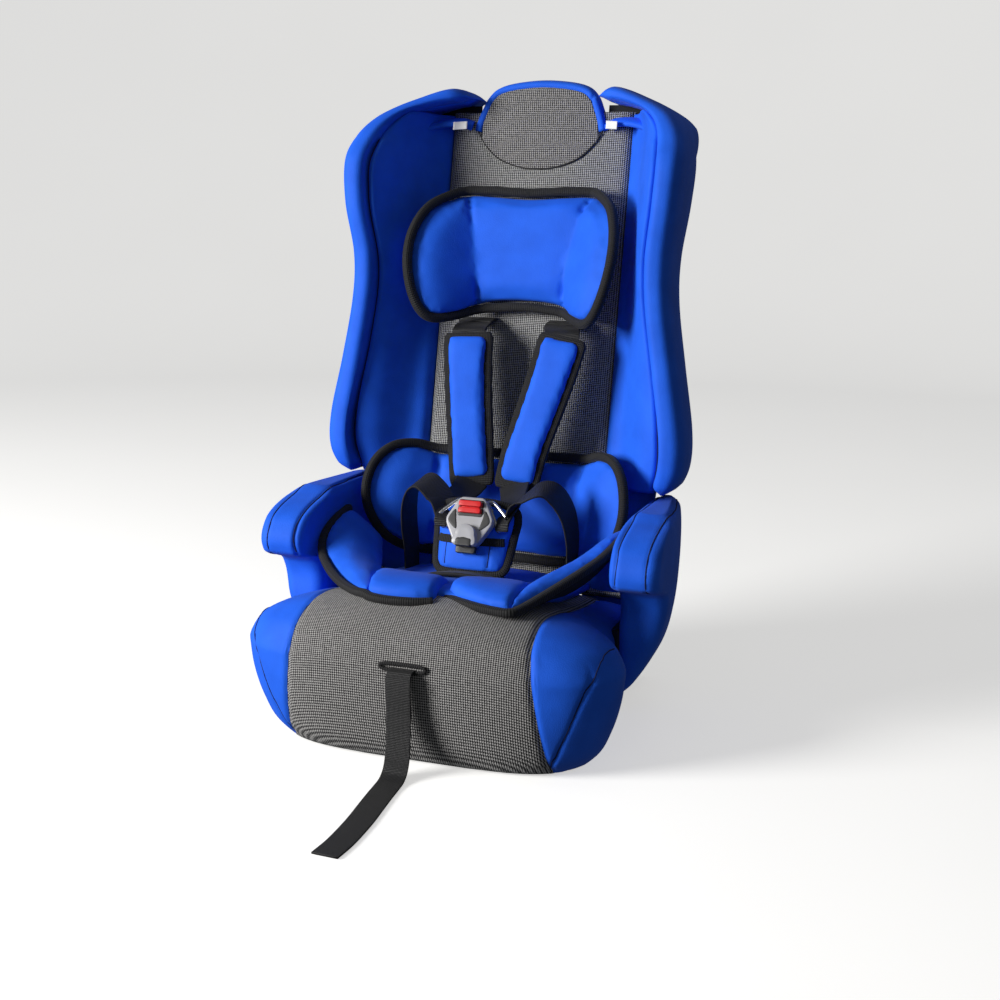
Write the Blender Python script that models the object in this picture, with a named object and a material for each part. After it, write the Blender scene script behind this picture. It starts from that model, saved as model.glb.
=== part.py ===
"""Harnessed child booster seat: a moulded base with armrests, a hinged high back with side wings,
fabric covers and inserts, and a five-point harness with its buckle and front adjuster.

Metres, +Z up. The seat faces -Y and is symmetrical about x = 0. The origin is on the floor under
the middle of the seat. Pieces named _left lie at -X, which is the left side seen from the front.
"""
import bmesh
import bpy
from math import cos, pi, radians, sin
from mathutils import Matrix, Vector

# ---- driving dimensions ----------------------------------------------------------------
GAP = 0.0003                    # clearance between pieces that touch
SHELL_WALL = 0.004              # moulded wall thickness
COVER = 0.009                   # padded cover thickness over the shell

BACK_Y, BACK_Z = 0.100, 0.250   # a point on the front plane of the back
BACK_SLOPE = 0.19               # rearward lean of that plane, metres of y for each metre of z
BACK_BOTTOM, BACK_TOP = 0.120, 0.667
PANEL_HALF = 0.105              # half width of the mesh panel down the back
SHELL_DEPTH = 0.038             # from the front plane to the rear rim of the back shell
WALL_REAR = COVER + 0.001 + SHELL_WALL  # from the front plane to the rear face of the shell's wall
WALL_INSET = 0.027              # from the wing's outer edge in to the shell's side wall
WING_MIDDLE_IN, WING_REAR_IN = 0.004, 0.017  # the draw-in of its outer side mid-way and at the rear

WING_BOTTOM, WING_TOP = 0.232, 0.606
WING_OUTER = ((0.232, 0.190), (0.262, 0.202), (0.300, 0.202), (0.365, 0.190), (0.430, 0.178),
              (0.477, 0.177), (0.530, 0.184), (0.575, 0.186), (0.606, 0.178))
WING_SEAM = ((0.232, 0.164), (0.270, 0.171), (0.300, 0.170), (0.340, 0.165), (0.380, 0.158),
             (0.460, 0.148), (0.540, 0.156), (0.575, 0.157), (0.606, 0.152))
WING_FRONT = ((0.232, 0.056), (0.262, 0.048), (0.380, 0.057), (0.460, 0.058), (0.540, 0.048),
              (0.575, 0.054), (0.606, 0.078))

HINGE_Y, HINGE_Z = 0.105, 0.085  # axis of the rod that the back hooks onto
ROD_R = 0.005
ROD_HALF = 0.143
HOOK_X, HOOK_WIDTH = 0.100, 0.024

SEAT_FRONT, SEAT_REAR = -0.207, 0.062
SEAT_MIDDLE = -0.070            # the seat block's outline shrinks towards this y
SEAT_CROWN = 0.011              # how far the seat surface falls from its middle to MESH_HALF
SIDE_TOP = 0.102                # where the seat block's sides end and its rounded shoulder starts
SHOULDER_START = 0.50           # the shoulder's inner end, as a share of the outline
MESH_HALF = 0.127               # half width of the mesh panel on the seat
DECK_REAR, DECK_TOP, DECK_HALF = 0.165, 0.062, 0.152
DECK_SLOPE = 0.030              # height and width of the slope at the foot of the deck's sides

ARM_INNER, ARM_OUTER = 0.1625, 0.212
TIP_MIDDLE = 0.200              # height of the middle of the armrest's tip
FRAME_INNER = 0.1540            # inner face of the side wall, beside the base shell
SIDE_BOTTOM = 0.046             # lower edge of the side walls, where they have curved in
SIDE_REAR_IN = 0.021            # how far a side wall's outer face draws in towards its rear

WEBBING = 0.038                 # shoulder, lap and crotch webbing
WEBBING_THICK = 0.002
PULL_WIDTH = 0.025              # adjuster webbing
SLOT_Z = 0.102                  # height of the adjuster slot in the front
HARNESS_SLOTS = (0.345, 0.405, 0.465)
SLOT_X, SLOT_WIDE, SLOT_HIGH = 0.050, 0.046, 0.012
LAP_X, LAP_Y = 0.092, 0.030     # where the lap webbing goes down through the seat
CROTCH_Y = -0.047               # where the crotch webbing goes down through the seat

BUCKLE = Vector((0.0, -0.028, 0.207))
BUCKLE_LEAN = radians(25)

BLUE = (0.008, 0.070, 0.560, 1.0)
MESH_GREY = (0.16, 0.16, 0.16, 1.0)
BLACK = (0.012, 0.012, 0.013, 1.0)
STEEL = (0.62, 0.62, 0.64, 1.0)
SILVER = (0.45, 0.45, 0.46, 1.0)
RED = (0.70, 0.02, 0.02, 1.0)


# ---- helpers ---------------------------------------------------------------------------
def clear_scene():
    for old in list(bpy.data.objects):
        bpy.data.objects.remove(old, do_unlink=True)


def material(name, colour, roughness, metallic=0.0):
    made = bpy.data.materials.new(name)
    made.use_nodes = True
    shader = made.node_tree.nodes["Principled BSDF"]
    shader.inputs["Base Color"].default_value = colour
    shader.inputs["Roughness"].default_value = roughness
    shader.inputs["Metallic"].default_value = metallic
    made.diffuse_color = colour
    return made


def node(name, bm, look, origin=None, smooth=False):
    """Turn a bmesh into a named object with its faces pointing out."""
    bmesh.ops.recalc_face_normals(bm, faces=bm.faces)
    if bm.calc_volume(signed=True) < 0:
        bmesh.ops.reverse_faces(bm, faces=bm.faces)
    if origin is not None:
        bmesh.ops.translate(bm, verts=bm.verts, vec=-Vector(origin))
    mesh = bpy.data.meshes.new(name)
    bm.to_mesh(mesh)
    bm.free()
    made = bpy.data.objects.new(name, mesh)
    bpy.context.collection.objects.link(made)
    if origin is not None:
        made.location = origin
    if look is not None:
        made.data.materials.append(material(name, *look))
    if smooth:
        made.data.shade_smooth()
        made.data.set_sharp_from_angle(angle=radians(35))
    return made


def cutter(name, bm):
    made = node(name, bm, None)
    made.hide_render = True
    made.display_type = "WIRE"
    return made


def combine(target, other, operation):
    step = target.modifiers.new(other.name, "BOOLEAN")
    step.operation = operation
    step.solver = "EXACT"
    step.object = other
    return target


def cut(target, *others):
    for other in others:
        combine(target, other, "DIFFERENCE")


def join(target, *others):
    for other in others:
        combine(target, other, "UNION")


def loft(rings):
    """A closed solid through rings that all have the same number of points."""
    bm = bmesh.new()
    made = [[bm.verts.new(point) for point in ring] for ring in rings]
    count = len(made[0])
    for low, high in zip(made, made[1:]):
        for i in range(count):
            k = (i + 1) % count
            bm.faces.new((low[i], low[k], high[k], high[i]))
    bm.faces.new(made[0])
    bm.faces.new(made[-1])
    return bm


def prism(outline, place, low, high):
    """An outline of 2-D points, put into space by place(a, b, depth) at two depths."""
    return loft([[place(a, b, depth) for a, b in outline] for depth in (low, high)])


def block(low, high):
    outline = ((low[0], low[1]), (high[0], low[1]), (high[0], high[1]), (low[0], high[1]))
    return prism(outline, lambda a, b, c: Vector((a, b, c)), low[2], high[2])


def merge(*parts):
    """Put several separate solids into one bmesh, for use as one cutter."""
    out = bmesh.new()
    for part in parts:
        mesh = bpy.data.meshes.new("scrap")
        part.to_mesh(mesh)
        part.free()
        out.from_mesh(mesh)
        bpy.data.meshes.remove(mesh)
    return out


def rod_along_x(y, z, radius, low, high, sides=24):
    turn = [2 * pi * i / sides for i in range(sides)]
    outline = [(y + radius * cos(a), z + radius * sin(a)) for a in turn]
    return prism(outline, lambda a, b, c: Vector((c, a, b)), low, high)


def ribbon(path, across, width, thick):
    """Flat webbing along a path; across is the direction of its width."""
    points = [Vector(p) for p in path]
    rings = []
    for i, point in enumerate(points):
        ahead = points[min(i + 1, len(points) - 1)] - points[max(i - 1, 0)]
        side = Vector(across(i / (len(points) - 1)) if callable(across) else across)
        side = (side - side.project(ahead)).normalized() * width / 2
        up = ahead.cross(side).normalized() * thick / 2
        rings.append([point - side - up, point + side - up, point + side + up, point - side + up])
    return loft(rings)


def smooth_path(points, per_span=4):
    """Points along a Catmull-Rom curve through the given points."""
    pts = [Vector(p) for p in points]
    pts = [2 * pts[0] - pts[1]] + pts + [2 * pts[-1] - pts[-2]]
    out = []
    for a, b, c, d in zip(pts, pts[1:], pts[2:], pts[3:]):
        for k in range(per_span):
            t = k / per_span
            out.append(0.5 * (2 * b + (c - a) * t + (2 * a - 5 * b + 4 * c - d) * t * t
                              + (3 * b - a - 3 * c + d) * t ** 3))
    return out + [pts[-2]]


def at(table, z):
    """Read a value at height z from a table of (height, value), smoothly between rows."""
    if z <= table[0][0]:
        return table[0][1]
    for (z0, v0), (z1, v1) in zip(table, table[1:]):
        if z <= z1:
            t = (z - z0) / (z1 - z0)
            return v0 + (v1 - v0) * t * t * (3 - 2 * t)
    return table[-1][1]


def steps(low, high, count):
    return [low + (high - low) * i / (count - 1) for i in range(count)]


def mirrored(half):
    """Close an outline from its right half, listed from one end of the x = 0 line to the other."""
    return list(half) + [(-a, b) for a, b in reversed(half) if abs(a) > 1e-9]


def back_y(z):
    return BACK_Y + BACK_SLOPE * (z - BACK_Z)


def on_back(x, z, behind):
    """A point a stated distance in y behind the front plane of the back."""
    return Vector((x, back_y(z) + behind, z))


def on_buckle(x, up, out):
    """A point in the buckle's own frame: up along the webbing, out towards the child's front."""
    lean, rise = sin(BUCKLE_LEAN), cos(BUCKLE_LEAN)
    return BUCKLE + Vector((x, up * lean - out * rise, up * rise + out * lean))


def rounded_box_ring(x0, x1, y0, y1, radius, z, rear_in=0.0):
    """A horizontal box with rounded corners, whose outer side draws in by rear_in behind y = 0."""
    ring = []
    radius = min(radius, 0.45 * (x1 - rear_in - x0))
    corners = ((x1 - rear_in, y1, 0), (x0, y1, 90), (x0, y0, 180), (x1, y0, 270))
    for cx, cy, start in corners:
        mx = cx + radius if cx == x0 else cx - radius
        my = cy - radius if cy == y1 else cy + radius
        for k in range(3):
            a = radians(start + 45 * k)
            ring.append(Vector((mx + radius * cos(a), my + radius * sin(a), z)))
    ring.append(Vector((x1, 0.0, z)))
    return ring


# ---- base ------------------------------------------------------------------------------
SEAT_PLAN = ((0.0, SEAT_FRONT), (0.070, -0.2065), (0.120, -0.202), (0.155, -0.191), (0.178, -0.174),
             (0.192, -0.152), (0.1945, -0.130), (0.185, -0.106), (0.170, -0.086), (0.161, -0.066),
             (0.160, 0.0), (0.160, 0.050), (0.150, SEAT_REAR), (0.0, SEAT_REAR))
SEAT_SIDE = ((0.000, 0.80), (0.015, 0.87), (0.040, 0.935), (0.070, 0.98), (0.100, 1.0))


def seat_top(x, y):
    """Height of the padded seat surface: it falls towards the sides and rounds off at the front."""
    middle = at(((-0.207, 0.154), (-0.150, 0.159), (-0.100, 0.153), (0.0, 0.138), (0.062, 0.132)), y)
    return middle - SEAT_CROWN * (abs(x) / MESH_HALF) ** 2


def shoulder_rise(scale):
    """How far up from the side's top edge to the seat surface a ring of this scale has come."""
    out = max(scale - SHOULDER_START, 0.0) / (1.0 - SHOULDER_START)
    return (1.0 - out ** 2.4) ** (1 / 2.4)


def seat_block(shrink, drop, bottom):
    """The seat block: side rings, then rings that close in over a rounded shoulder and the top."""
    plan = [Vector((a, b - SEAT_MIDDLE)) for a, b in mirrored(SEAT_PLAN)]

    def ring(scale, height=None):
        out = []
        for point in plan:
            x, y = point.x * scale * shrink, SEAT_MIDDLE + point.y * scale * shrink
            z = height
            if height is None:
                edge = SIDE_TOP - drop
                z = edge + (seat_top(x, y) - drop - edge) * shoulder_rise(scale)
            out.append(Vector((x, y, z)))
        return out

    rings = [ring(at(SEAT_SIDE, bottom), bottom)]
    rings += [ring(scale, z) for z, scale in SEAT_SIDE if bottom < z < SIDE_TOP - drop - 0.004]
    rings += [ring(scale) for scale in (1.0, 0.985, 0.945, 0.88, 0.79, 0.65, 0.45, 0.25)]
    bm = loft(rings)
    bmesh.ops.triangulate(bm, faces=bm.faces)
    return bm


def side_block(side, inset, bottom, inner_low=None):
    """A side wall with its armrest: the front steps forward above the belt path."""
    front = ((0.0, -0.030), (0.030, -0.040), (0.110, -0.050), (0.150, -0.050), (0.163, -0.066),
             (0.168, -0.090), (0.190, -0.098), (0.210, -0.088), (0.225, -0.060), (0.229, -0.040))
    outer = ((0.044, 0.166), (0.054, 0.175), (0.064, 0.182), (0.080, 0.191), (0.096, 0.199),
             (0.130, 0.208), (0.165, ARM_OUTER), (0.200, ARM_OUTER), (0.222, 0.208), (0.229, 0.200))
    heights = (0.064, 0.080, 0.096, 0.112, 0.118, 0.150, 0.163, 0.168, 0.190, 0.210, 0.222, 0.229)
    rings = []
    for z in (bottom,) + heights:
        low = ARM_INNER + inset
        if inner_low is not None and z <= 0.112:
            low = inner_low
        top_ease = 0.004 if z > 0.225 else 0.0
        x0, x1 = low + top_ease, at(outer, z) - inset
        y0, y1 = at(front, z) + inset, 0.102 - inset - top_ease
        height = z
        if z > TIP_MIDDLE:
            height -= inset
        elif z > 0.150:
            height += 0.6 * inset
        rear_in = SIDE_REAR_IN * at(((0.044, 0.1), (0.130, 1.0), (0.210, 1.0), (0.229, 0.35)), z)
        rings.append(rounded_box_ring(x0, x1, y0, y1, 0.008, height, rear_in))
    flipped = [[Vector((side * p.x, p.y, p.z)) for p in ring] for ring in rings]
    bm = loft(flipped)
    bmesh.ops.triangulate(bm, faces=bm.faces)
    return bm


def deck_block(half, slope, y0, y1, low, high):
    """The rear deck, whose sides slope in towards its foot."""
    knee = low + slope
    outline = ((slope - half, low), (half - slope, low), (half, knee), (half, high), (-half, high),
               (-half, knee))
    return prism(outline, lambda a, b, c: Vector((a, c, b)), y0, y1)


def base_shell():
    """Open-bottomed moulded shell: the seat block, the rear deck and the lugs for the rod."""
    shell = node("base_shell", seat_block(0.955, COVER, 0.0), (BLACK, 0.55))
    deck = cutter("deck_core", deck_block(DECK_HALF, DECK_SLOPE, 0.040, DECK_REAR, 0.0, DECK_TOP))
    join(shell, deck)
    lug = ((HINGE_Y - 0.012, DECK_TOP - 0.002), (HINGE_Y + 0.012, DECK_TOP - 0.002),
           (HINGE_Y + 0.009, HINGE_Z + 0.009), (HINGE_Y - 0.009, HINGE_Z + 0.009))
    for k, x in enumerate((-0.132, -0.060, 0.060, 0.132)):
        lug_bm = prism(lug, lambda a, b, c: Vector((c, a, b)), x - 0.006, x + 0.006)
        join(shell, cutter(f"lug_{k}", lug_bm))
    hollow = cutter("seat_hollow", seat_block(0.915, COVER + SHELL_WALL, -0.010))
    rear = deck_block(DECK_HALF - SHELL_WALL, DECK_SLOPE, 0.030, DECK_REAR - SHELL_WALL, -0.001,
                      DECK_TOP - SHELL_WALL)
    cut(shell, hollow, cutter("deck_hollow", rear))
    cut(shell, cutter("rod_hole", rod_along_x(HINGE_Y, HINGE_Z, ROD_R + 0.0004, -0.149, 0.149)))
    cut(shell, cutter("shell_slots", merge(
        block((-0.020, 0.136, 0.03), (0.020, 0.150, 0.10)),
        block((-0.017, -0.215, SLOT_Z - 0.006), (0.017, -0.185, SLOT_Z + 0.006)),
        seat_slot(0.0, CROTCH_Y, WEBBING + 0.006, 0.008),
        seat_slot(-LAP_X, LAP_Y, 0.008, WEBBING + 0.006),
        seat_slot(LAP_X, LAP_Y, 0.008, WEBBING + 0.006))))
    return shell


def seat_slot(x, y, wide, long):
    """A cutter that goes down through the seat."""
    return block((x - wide / 2, y - long / 2, 0.105), (x + wide / 2, y + long / 2, 0.20))


def seat_covers():
    """The padded seat cover: a mesh panel down the middle and a blue panel at each side."""
    side = 0.21
    reach = {"centre": (-MESH_HALF, MESH_HALF), "left": (-side, -MESH_HALF - GAP),
             "right": (MESH_HALF + GAP, side)}
    core = cutter("seat_core", seat_block(0.955 + 0.008, COVER - 0.0020, -0.010))
    deck = cutter("deck_clear", block((-0.21, -0.0450, -0.01), (0.21, DECK_REAR, DECK_TOP + 0.0006)))
    slots = cutter("cover_slots", merge(
        block((-0.018, -0.215, SLOT_Z - 0.0045), (0.018, -0.185, SLOT_Z + 0.0045)),
        seat_slot(0.0, CROTCH_Y, WEBBING + 0.006, 0.008),
        seat_slot(-LAP_X, LAP_Y, 0.008, WEBBING + 0.006),
        seat_slot(LAP_X, LAP_Y, 0.008, WEBBING + 0.006)))
    low_core = [cutter(f"side_clear_{s}", side_block(s, 0.0070, 0.0, FRAME_INNER - 0.0005)) for s in (-1, 1)]
    for name, (x0, x1) in reach.items():
        colour = MESH_GREY if name == "centre" else BLUE
        cover = node(f"seat_cover_{name}", seat_block(1.0, 0.0, 0.005), (colour, 0.9))
        region = cutter(f"region_{name}", block((x0, -0.23, 0.0), (x1, 0.08, 0.20)))
        combine(cover, region, "INTERSECT")
        cut(cover, core, deck)
        if name == "centre":
            cut(cover, slots)
        else:
            cut(cover, *low_core)


def armrest_frames():
    """The moulded side walls with their armrests, fixed to the sides of the base shell."""
    for s, name in ((-1, "left"), (1, "right")):
        node(f"armrest_frame_{name}", side_block(s, 0.0075, 0.0530, FRAME_INNER), (BLACK, 0.55))


def armrest_covers():
    for s, name in ((-1, "left"), (1, "right")):
        cover = node(f"armrest_cover_{name}", side_block(s, 0.0, SIDE_BOTTOM), (BLUE, 0.9))
        cut(cover, cutter(f"arm_core_{name}", side_block(s, 0.0070, 0.0525, FRAME_INNER - 0.0005)))


def insert_pieces():
    """The infant insert on the seat: a thin pad with a raised bolster along each thigh."""
    length = steps(-0.105, 0.045, 5)
    pad = []
    for x in steps(-0.080, 0.080, 7):
        under = [Vector((x, y, seat_top(x, y) + 0.002)) for y in length]
        over = [Vector((x, y, seat_top(x, y) + 0.014)) for y in reversed(length)]
        pad.append(under + over)
    seat_pad = node("insert_seat_pad", loft(pad), (BLUE, 0.9))
    cut(seat_pad, cutter("pad_slot", block((-0.024, CROTCH_Y - 0.006, 0.1), (0.024, CROTCH_Y + 0.006, 0.2))))
    line = ((0.016, -0.128, 0.160), (0.055, -0.132, 0.160), (0.088, -0.126, 0.165),
            (0.115, -0.105, 0.178), (0.132, -0.070, 0.188), (0.136, -0.030, 0.190))
    for s, name in ((-1, "left"), (1, "right")):
        rings = []
        path = smooth_path([(s * x, y, z) for x, y, z in line], 3)
        for i, point in enumerate(path):
            ahead = (path[min(i + 1, len(path) - 1)] - path[max(i - 1, 0)]).normalized()
            out = ahead.cross(Vector((0, 0, 1))).normalized()
            ring = []
            for a, lift in ((-0.014, None), (0.014, None), (0.016, 0.0), (0.008, 0.010),
                            (-0.008, 0.010), (-0.016, 0.0)):
                spot = point + out * a
                spot.z = seat_top(spot.x, spot.y) + 0.003 if lift is None else point.z + lift
                ring.append(spot)
            rings.append(ring)
        node(f"thigh_bolster_{name}", loft(rings), (BLUE, 0.9))


# ---- harness on the base ---------------------------------------------------------------
def crotch_pieces():
    path = smooth_path(((0, CROTCH_Y, 0.1270), (0, CROTCH_Y, 0.140), (0, -0.0445, 0.156),
                        (0, -0.0395, 0.1735)))
    node("crotch_strap", ribbon(path, (1, 0, 0), WEBBING, WEBBING_THICK), (BLACK, 0.7))
    node("crotch_anchor_plate", block((-0.026, CROTCH_Y - 0.010, 0.1235), (0.026, CROTCH_Y + 0.010, 0.1265)),
         (STEEL, 0.3, 1.0))
    half = ((0.0, 0.0), (0.036, 0.0), (0.042, 0.006), (0.042, 0.052), (0.034, 0.066), (0.0, 0.072))
    outline = mirrored(half)
    lean = 0.44

    def place(a, b, depth):
        return Vector((a, -0.030 + b * lean + depth, 0.1575 + b))

    node("crotch_pad", prism(outline, place, 0.0, 0.011), (BLUE, 0.9))


def lap_pieces():
    line = ((0.0590, -0.004, 0.2320), (0.0675, 0.000, 0.236), (0.080, 0.008, 0.234), (0.089, 0.018, 0.214),
            (0.0925, 0.026, 0.185), (LAP_X, LAP_Y, 0.150), (LAP_X, LAP_Y, 0.1060))
    for s, name in ((-1, "left"), (1, "right")):
        path = smooth_path([(s * x, y, z) for x, y, z in line], 3)
        node(f"lap_strap_{name}", ribbon(path, (0, 1, 0), WEBBING - 0.004, WEBBING_THICK), (BLACK, 0.7))
        low, high = sorted((s * (LAP_X - 0.010), s * (LAP_X + 0.010)))
        node(f"lap_anchor_{name}", block((low, LAP_Y - 0.022, 0.1015), (high, LAP_Y + 0.006, 0.1045)),
             (STEEL, 0.3, 1.0))


def shoulder_pads():
    for s, name in ((-1, "left"), (1, "right")):
        path = [(s * 0.0545, 0.082, 0.388), (s * 0.0455, 0.070, 0.335), (s * 0.0365, 0.058, 0.285),
                (s * 0.0285, 0.047, 0.237)]
        pad = ribbon(smooth_path(path, 2), (1, 0, 0.17 * s), 0.050, 0.012)
        node(f"shoulder_pad_{name}", pad, (BLUE, 0.9))
        tail = [(s * 0.0285, 0.0430, 0.2320), (s * 0.030, 0.034, 0.2285), (s * 0.034, 0.014, 0.231),
                (s * 0.037, -0.001, 0.238)]
        webbing = ribbon(smooth_path(tail, 3), (1, 0, 0), 0.030, WEBBING_THICK)
        node(f"harness_strap_{name}", webbing, (BLACK, 0.7))


def buckle_pieces():
    outline = mirrored(((0.0, -0.030), (0.011, -0.030), (0.020, -0.023), (0.027, -0.002), (0.0275, 0.020),
                        (0.023, 0.0245), (0.0, 0.0245)))
    node("buckle_back", prism(outline, on_buckle, -0.0110, -0.0035), (SILVER, 0.4))
    front = node("buckle_front", prism(outline, on_buckle, 0.0015, 0.0115), (SILVER, 0.4))
    well = ((-0.0130, 0.0020), (0.0130, 0.0020), (0.0130, 0.0210), (-0.0130, 0.0210))
    cut(front, cutter("button_well", prism(well, on_buckle, 0.0, 0.02)))
    plate = ((-0.006, -0.026), (0.006, -0.026), (0.006, 0.016), (-0.006, 0.016))
    node("latch_plate", prism(plate, on_buckle, -0.0032, 0.0000), (STEEL, 0.3, 1.0))
    leaf = ((-0.004, -0.024), (0.004, -0.024), (0.004, -0.004), (-0.004, -0.004))
    node("latch_spring", prism(leaf, on_buckle, 0.0003, 0.0012), (STEEL, 0.3, 1.0))
    cap = ((-0.0122, 0.0028), (0.0122, 0.0028), (0.0122, 0.0202), (-0.0122, 0.0202))
    rings = [[on_buckle(a * scale, 0.0115 + (b - 0.0115) * scale, depth) for a, b in cap]
             for depth, scale in ((0.0058, 1.0), (0.0132, 1.0), (0.0140, 0.90))]
    node("release_button", loft(rings), (RED, 0.35), origin=on_buckle(0, 0.0115, 0.0058))


def tongues():
    """Half tongues: a flat blade inside the buckle and a slotted wing that the webbing goes through."""
    for s, name in ((-1, "left"), (1, "right")):
        half = ((0.0085, -0.004), (0.0215, -0.004), (0.0215, 0.0270), (0.0300, 0.0270), (0.0310, 0.0080),
                (0.0500, 0.0060), (0.0560, 0.0160), (0.0500, 0.0310), (0.0250, 0.0370), (0.0085, 0.0330))
        tongue = node(f"tongue_{name}", prism([(s * a, b) for a, b in half], on_buckle, -0.0030, 0.0010),
                      (STEEL, 0.2, 1.0), origin=on_buckle(s * 0.015, 0.0, -0.001))
        hole = ((0.0350, 0.0120), (0.0480, 0.0105), (0.0515, 0.0165), (0.0470, 0.0270), (0.0340, 0.0300))
        slot = prism([(s * a, b) for a, b in hole], on_buckle, -0.01, 0.01)
        cut(tongue, cutter(f"tongue_hole_{name}", slot))


# ---- adjuster --------------------------------------------------------------------------
CAM_Y, CAM_Z = -0.1740, 0.1020


def adjuster_pieces():
    channel = block((-0.0200, -0.1860, 0.0850), (0.0200, -0.1600, 0.1110))
    frame = node("adjuster_frame", channel, (STEEL, 0.3, 1.0))
    cut(frame, cutter("frame_inside", block((-0.0182, -0.20, 0.0868), (0.0182, -0.15, 0.12))))
    cut(frame, cutter("frame_holes", rod_along_x(CAM_Y, CAM_Z, 0.0024, -0.03, 0.03, 16)))
    pin = rod_along_x(CAM_Y, CAM_Z, 0.0020, -0.0215, 0.0215, 16)
    node("adjuster_pin", pin, (STEEL, 0.3, 1.0), smooth=True)
    turn = [radians(a) for a in range(-150, 121, 30)]
    cam_line = [(CAM_Y + 0.0075 * cos(a), CAM_Z + 0.0075 * sin(a)) for a in turn]
    cam_line += [(CAM_Y - 0.0125, CAM_Z + 0.0075), (CAM_Y - 0.0125, CAM_Z + 0.0050)]
    cam = node("adjuster_cam", prism(cam_line, lambda a, b, c: Vector((c, a, b)), -0.0150, 0.0150),
               (STEEL, 0.3, 1.0), origin=(0.0, CAM_Y, CAM_Z))
    cut(cam, cutter("cam_hole", rod_along_x(CAM_Y, CAM_Z, 0.0024, -0.03, 0.03, 16)))
    spring = node("adjuster_spring", rod_along_x(CAM_Y, CAM_Z, 0.0038, 0.0155, 0.0178, 16), (STEEL, 0.3, 1.0))
    cut(spring, cutter("spring_bore", rod_along_x(CAM_Y, CAM_Z, 0.0024, 0.01, 0.03, 16)))


PULL_ROUTE = ((0.0, -0.2075, 0.1020), (0.0, -0.2150, 0.1012), (0.0, -0.2185, 0.0950), (0.0, -0.2185, 0.0800),
              (0.0, -0.2175, 0.0600), (0.0, -0.2175, 0.0400), (0.0, -0.2190, 0.0220), (0.0, -0.2240, 0.0090),
              (0.001, -0.2350, 0.0030), (0.002, -0.2500, 0.0015), (0.004, -0.2700, 0.0014),
              (0.007, -0.2950, 0.0014), (0.010, -0.3200, 0.0014), (0.012, -0.3450, 0.0014),
              (0.013, -0.3700, 0.0014), (0.012, -0.3950, 0.0014))


def pull_straps():
    """The webbing that tightens the harness: under the seat to the adjuster, then out and down."""
    inner = ((0, -0.2070, SLOT_Z), (0, -0.195, 0.1005), (0, -0.186, 0.0945), (0, -0.172, 0.0935),
             (0, -0.12, 0.0900), (0, -0.04, 0.0750), (0, 0.03, 0.0480), (0, 0.10, 0.0380), (0, 0.135, 0.0400),
             (0, 0.1430, 0.0550), (0, 0.1440, 0.0750), (0, 0.1445, 0.0980))
    node("harness_pull_strap", ribbon(smooth_path(inner, 3), (1, 0, 0), PULL_WIDTH, 0.0018), (BLACK, 0.7))
    outer = smooth_path(PULL_ROUTE, 3)
    outer[0] = Vector((0.0, -0.2075, 0.1020))
    node("adjuster_strap", ribbon(outer, (1, 0, 0), PULL_WIDTH, 0.0018), (BLACK, 0.7))


# ---- back ------------------------------------------------------------------------------
WING_STEPS = steps(WING_BOTTOM, WING_TOP, 13)
HUMP = ((0.0, 0.610), (0.066, 0.610), (0.074, 0.618), (0.064, 0.640), (0.057, 0.656), (0.040, 0.663),
        (0.0, 0.667))


def shell_side(z):
    """Half width of the back shell, inside the wing."""
    return at(WING_OUTER, z) - WALL_INSET


def lower_side(z):
    """Half width of the back shell below the wings."""
    return 0.148 + 0.08 * (z - BACK_BOTTOM)


def back_shell():
    """Moulded back: a thin front wall, side walls that reach into the wings, and ribs behind."""
    rings = []
    for z in [BACK_BOTTOM, 0.180, WING_BOTTOM - 0.001] + WING_STEPS:
        inside = z >= WING_BOTTOM
        side = shell_side(z) if inside else lower_side(z)
        tip = at(WING_FRONT, z) + 0.020 if inside else back_y(z) + COVER + 0.0012
        face = back_y(z) + COVER + 0.001
        half = ((0.0, face), (side - SHELL_WALL, face), (side - SHELL_WALL, min(tip, face - 0.001)),
                (side, min(tip, face - 0.001)), (side, back_y(z) + SHELL_DEPTH),
                (side - SHELL_WALL, back_y(z) + SHELL_DEPTH), (side - SHELL_WALL, face + SHELL_WALL),
                (0.0, face + SHELL_WALL))
        right = [Vector((a, b, z)) for a, b in half]
        left = [Vector((-p.x, p.y, p.z)) for p in reversed(right) if p.x > 1e-9]
        rings.append(right + left)
    shell = node("back_shell", loft(rings), (BLACK, 0.55))
    head = [(a, b - (0.004 if b > 0.65 else 0.0)) for a, b in mirrored(HUMP)]
    head = [(a, 0.585 if b < 0.612 else b) for a, b in head]
    join(shell, cutter("head_plate", prism(head, on_back, COVER + 0.0015, COVER + 0.0005 + SHELL_WALL)))
    cut(shell, cutter("back_slots", merge(*[
        slanted_box(s * SLOT_X, z, SLOT_WIDE, SLOT_HIGH, -0.005, 0.025)
        for s in (-1, 1) for z in HARNESS_SLOTS])))
    cut(shell, cutter("strap_notch", block((-0.030, back_y(0.14) + 0.018, 0.10), (0.030, 0.16, 0.150))))
    return shell


def back_ribs():
    """Upright stiffening ribs on the rear face of the back shell's front wall."""
    for s, name in ((-1, "left"), (1, "right")):
        for x, place in ((0.078, "inner"), (0.120, "outer")):
            outline = ((s * x - 0.0015, 0.141), (s * x + 0.0015, 0.141), (s * x + 0.0015, 0.591),
                       (s * x - 0.0015, 0.591))
            rib = prism(outline, on_back, WALL_REAR + GAP, SHELL_DEPTH - 0.001)
            node(f"back_rib_{place}_{name}", rib, (BLACK, 0.55))


def slanted_box(x, z, wide, high, low, deep):
    outline = ((x - wide / 2, z - high / 2), (x + wide / 2, z - high / 2), (x + wide / 2, z + high / 2),
               (x - wide / 2, z + high / 2))
    return prism(outline, on_back, low, deep)


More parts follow.
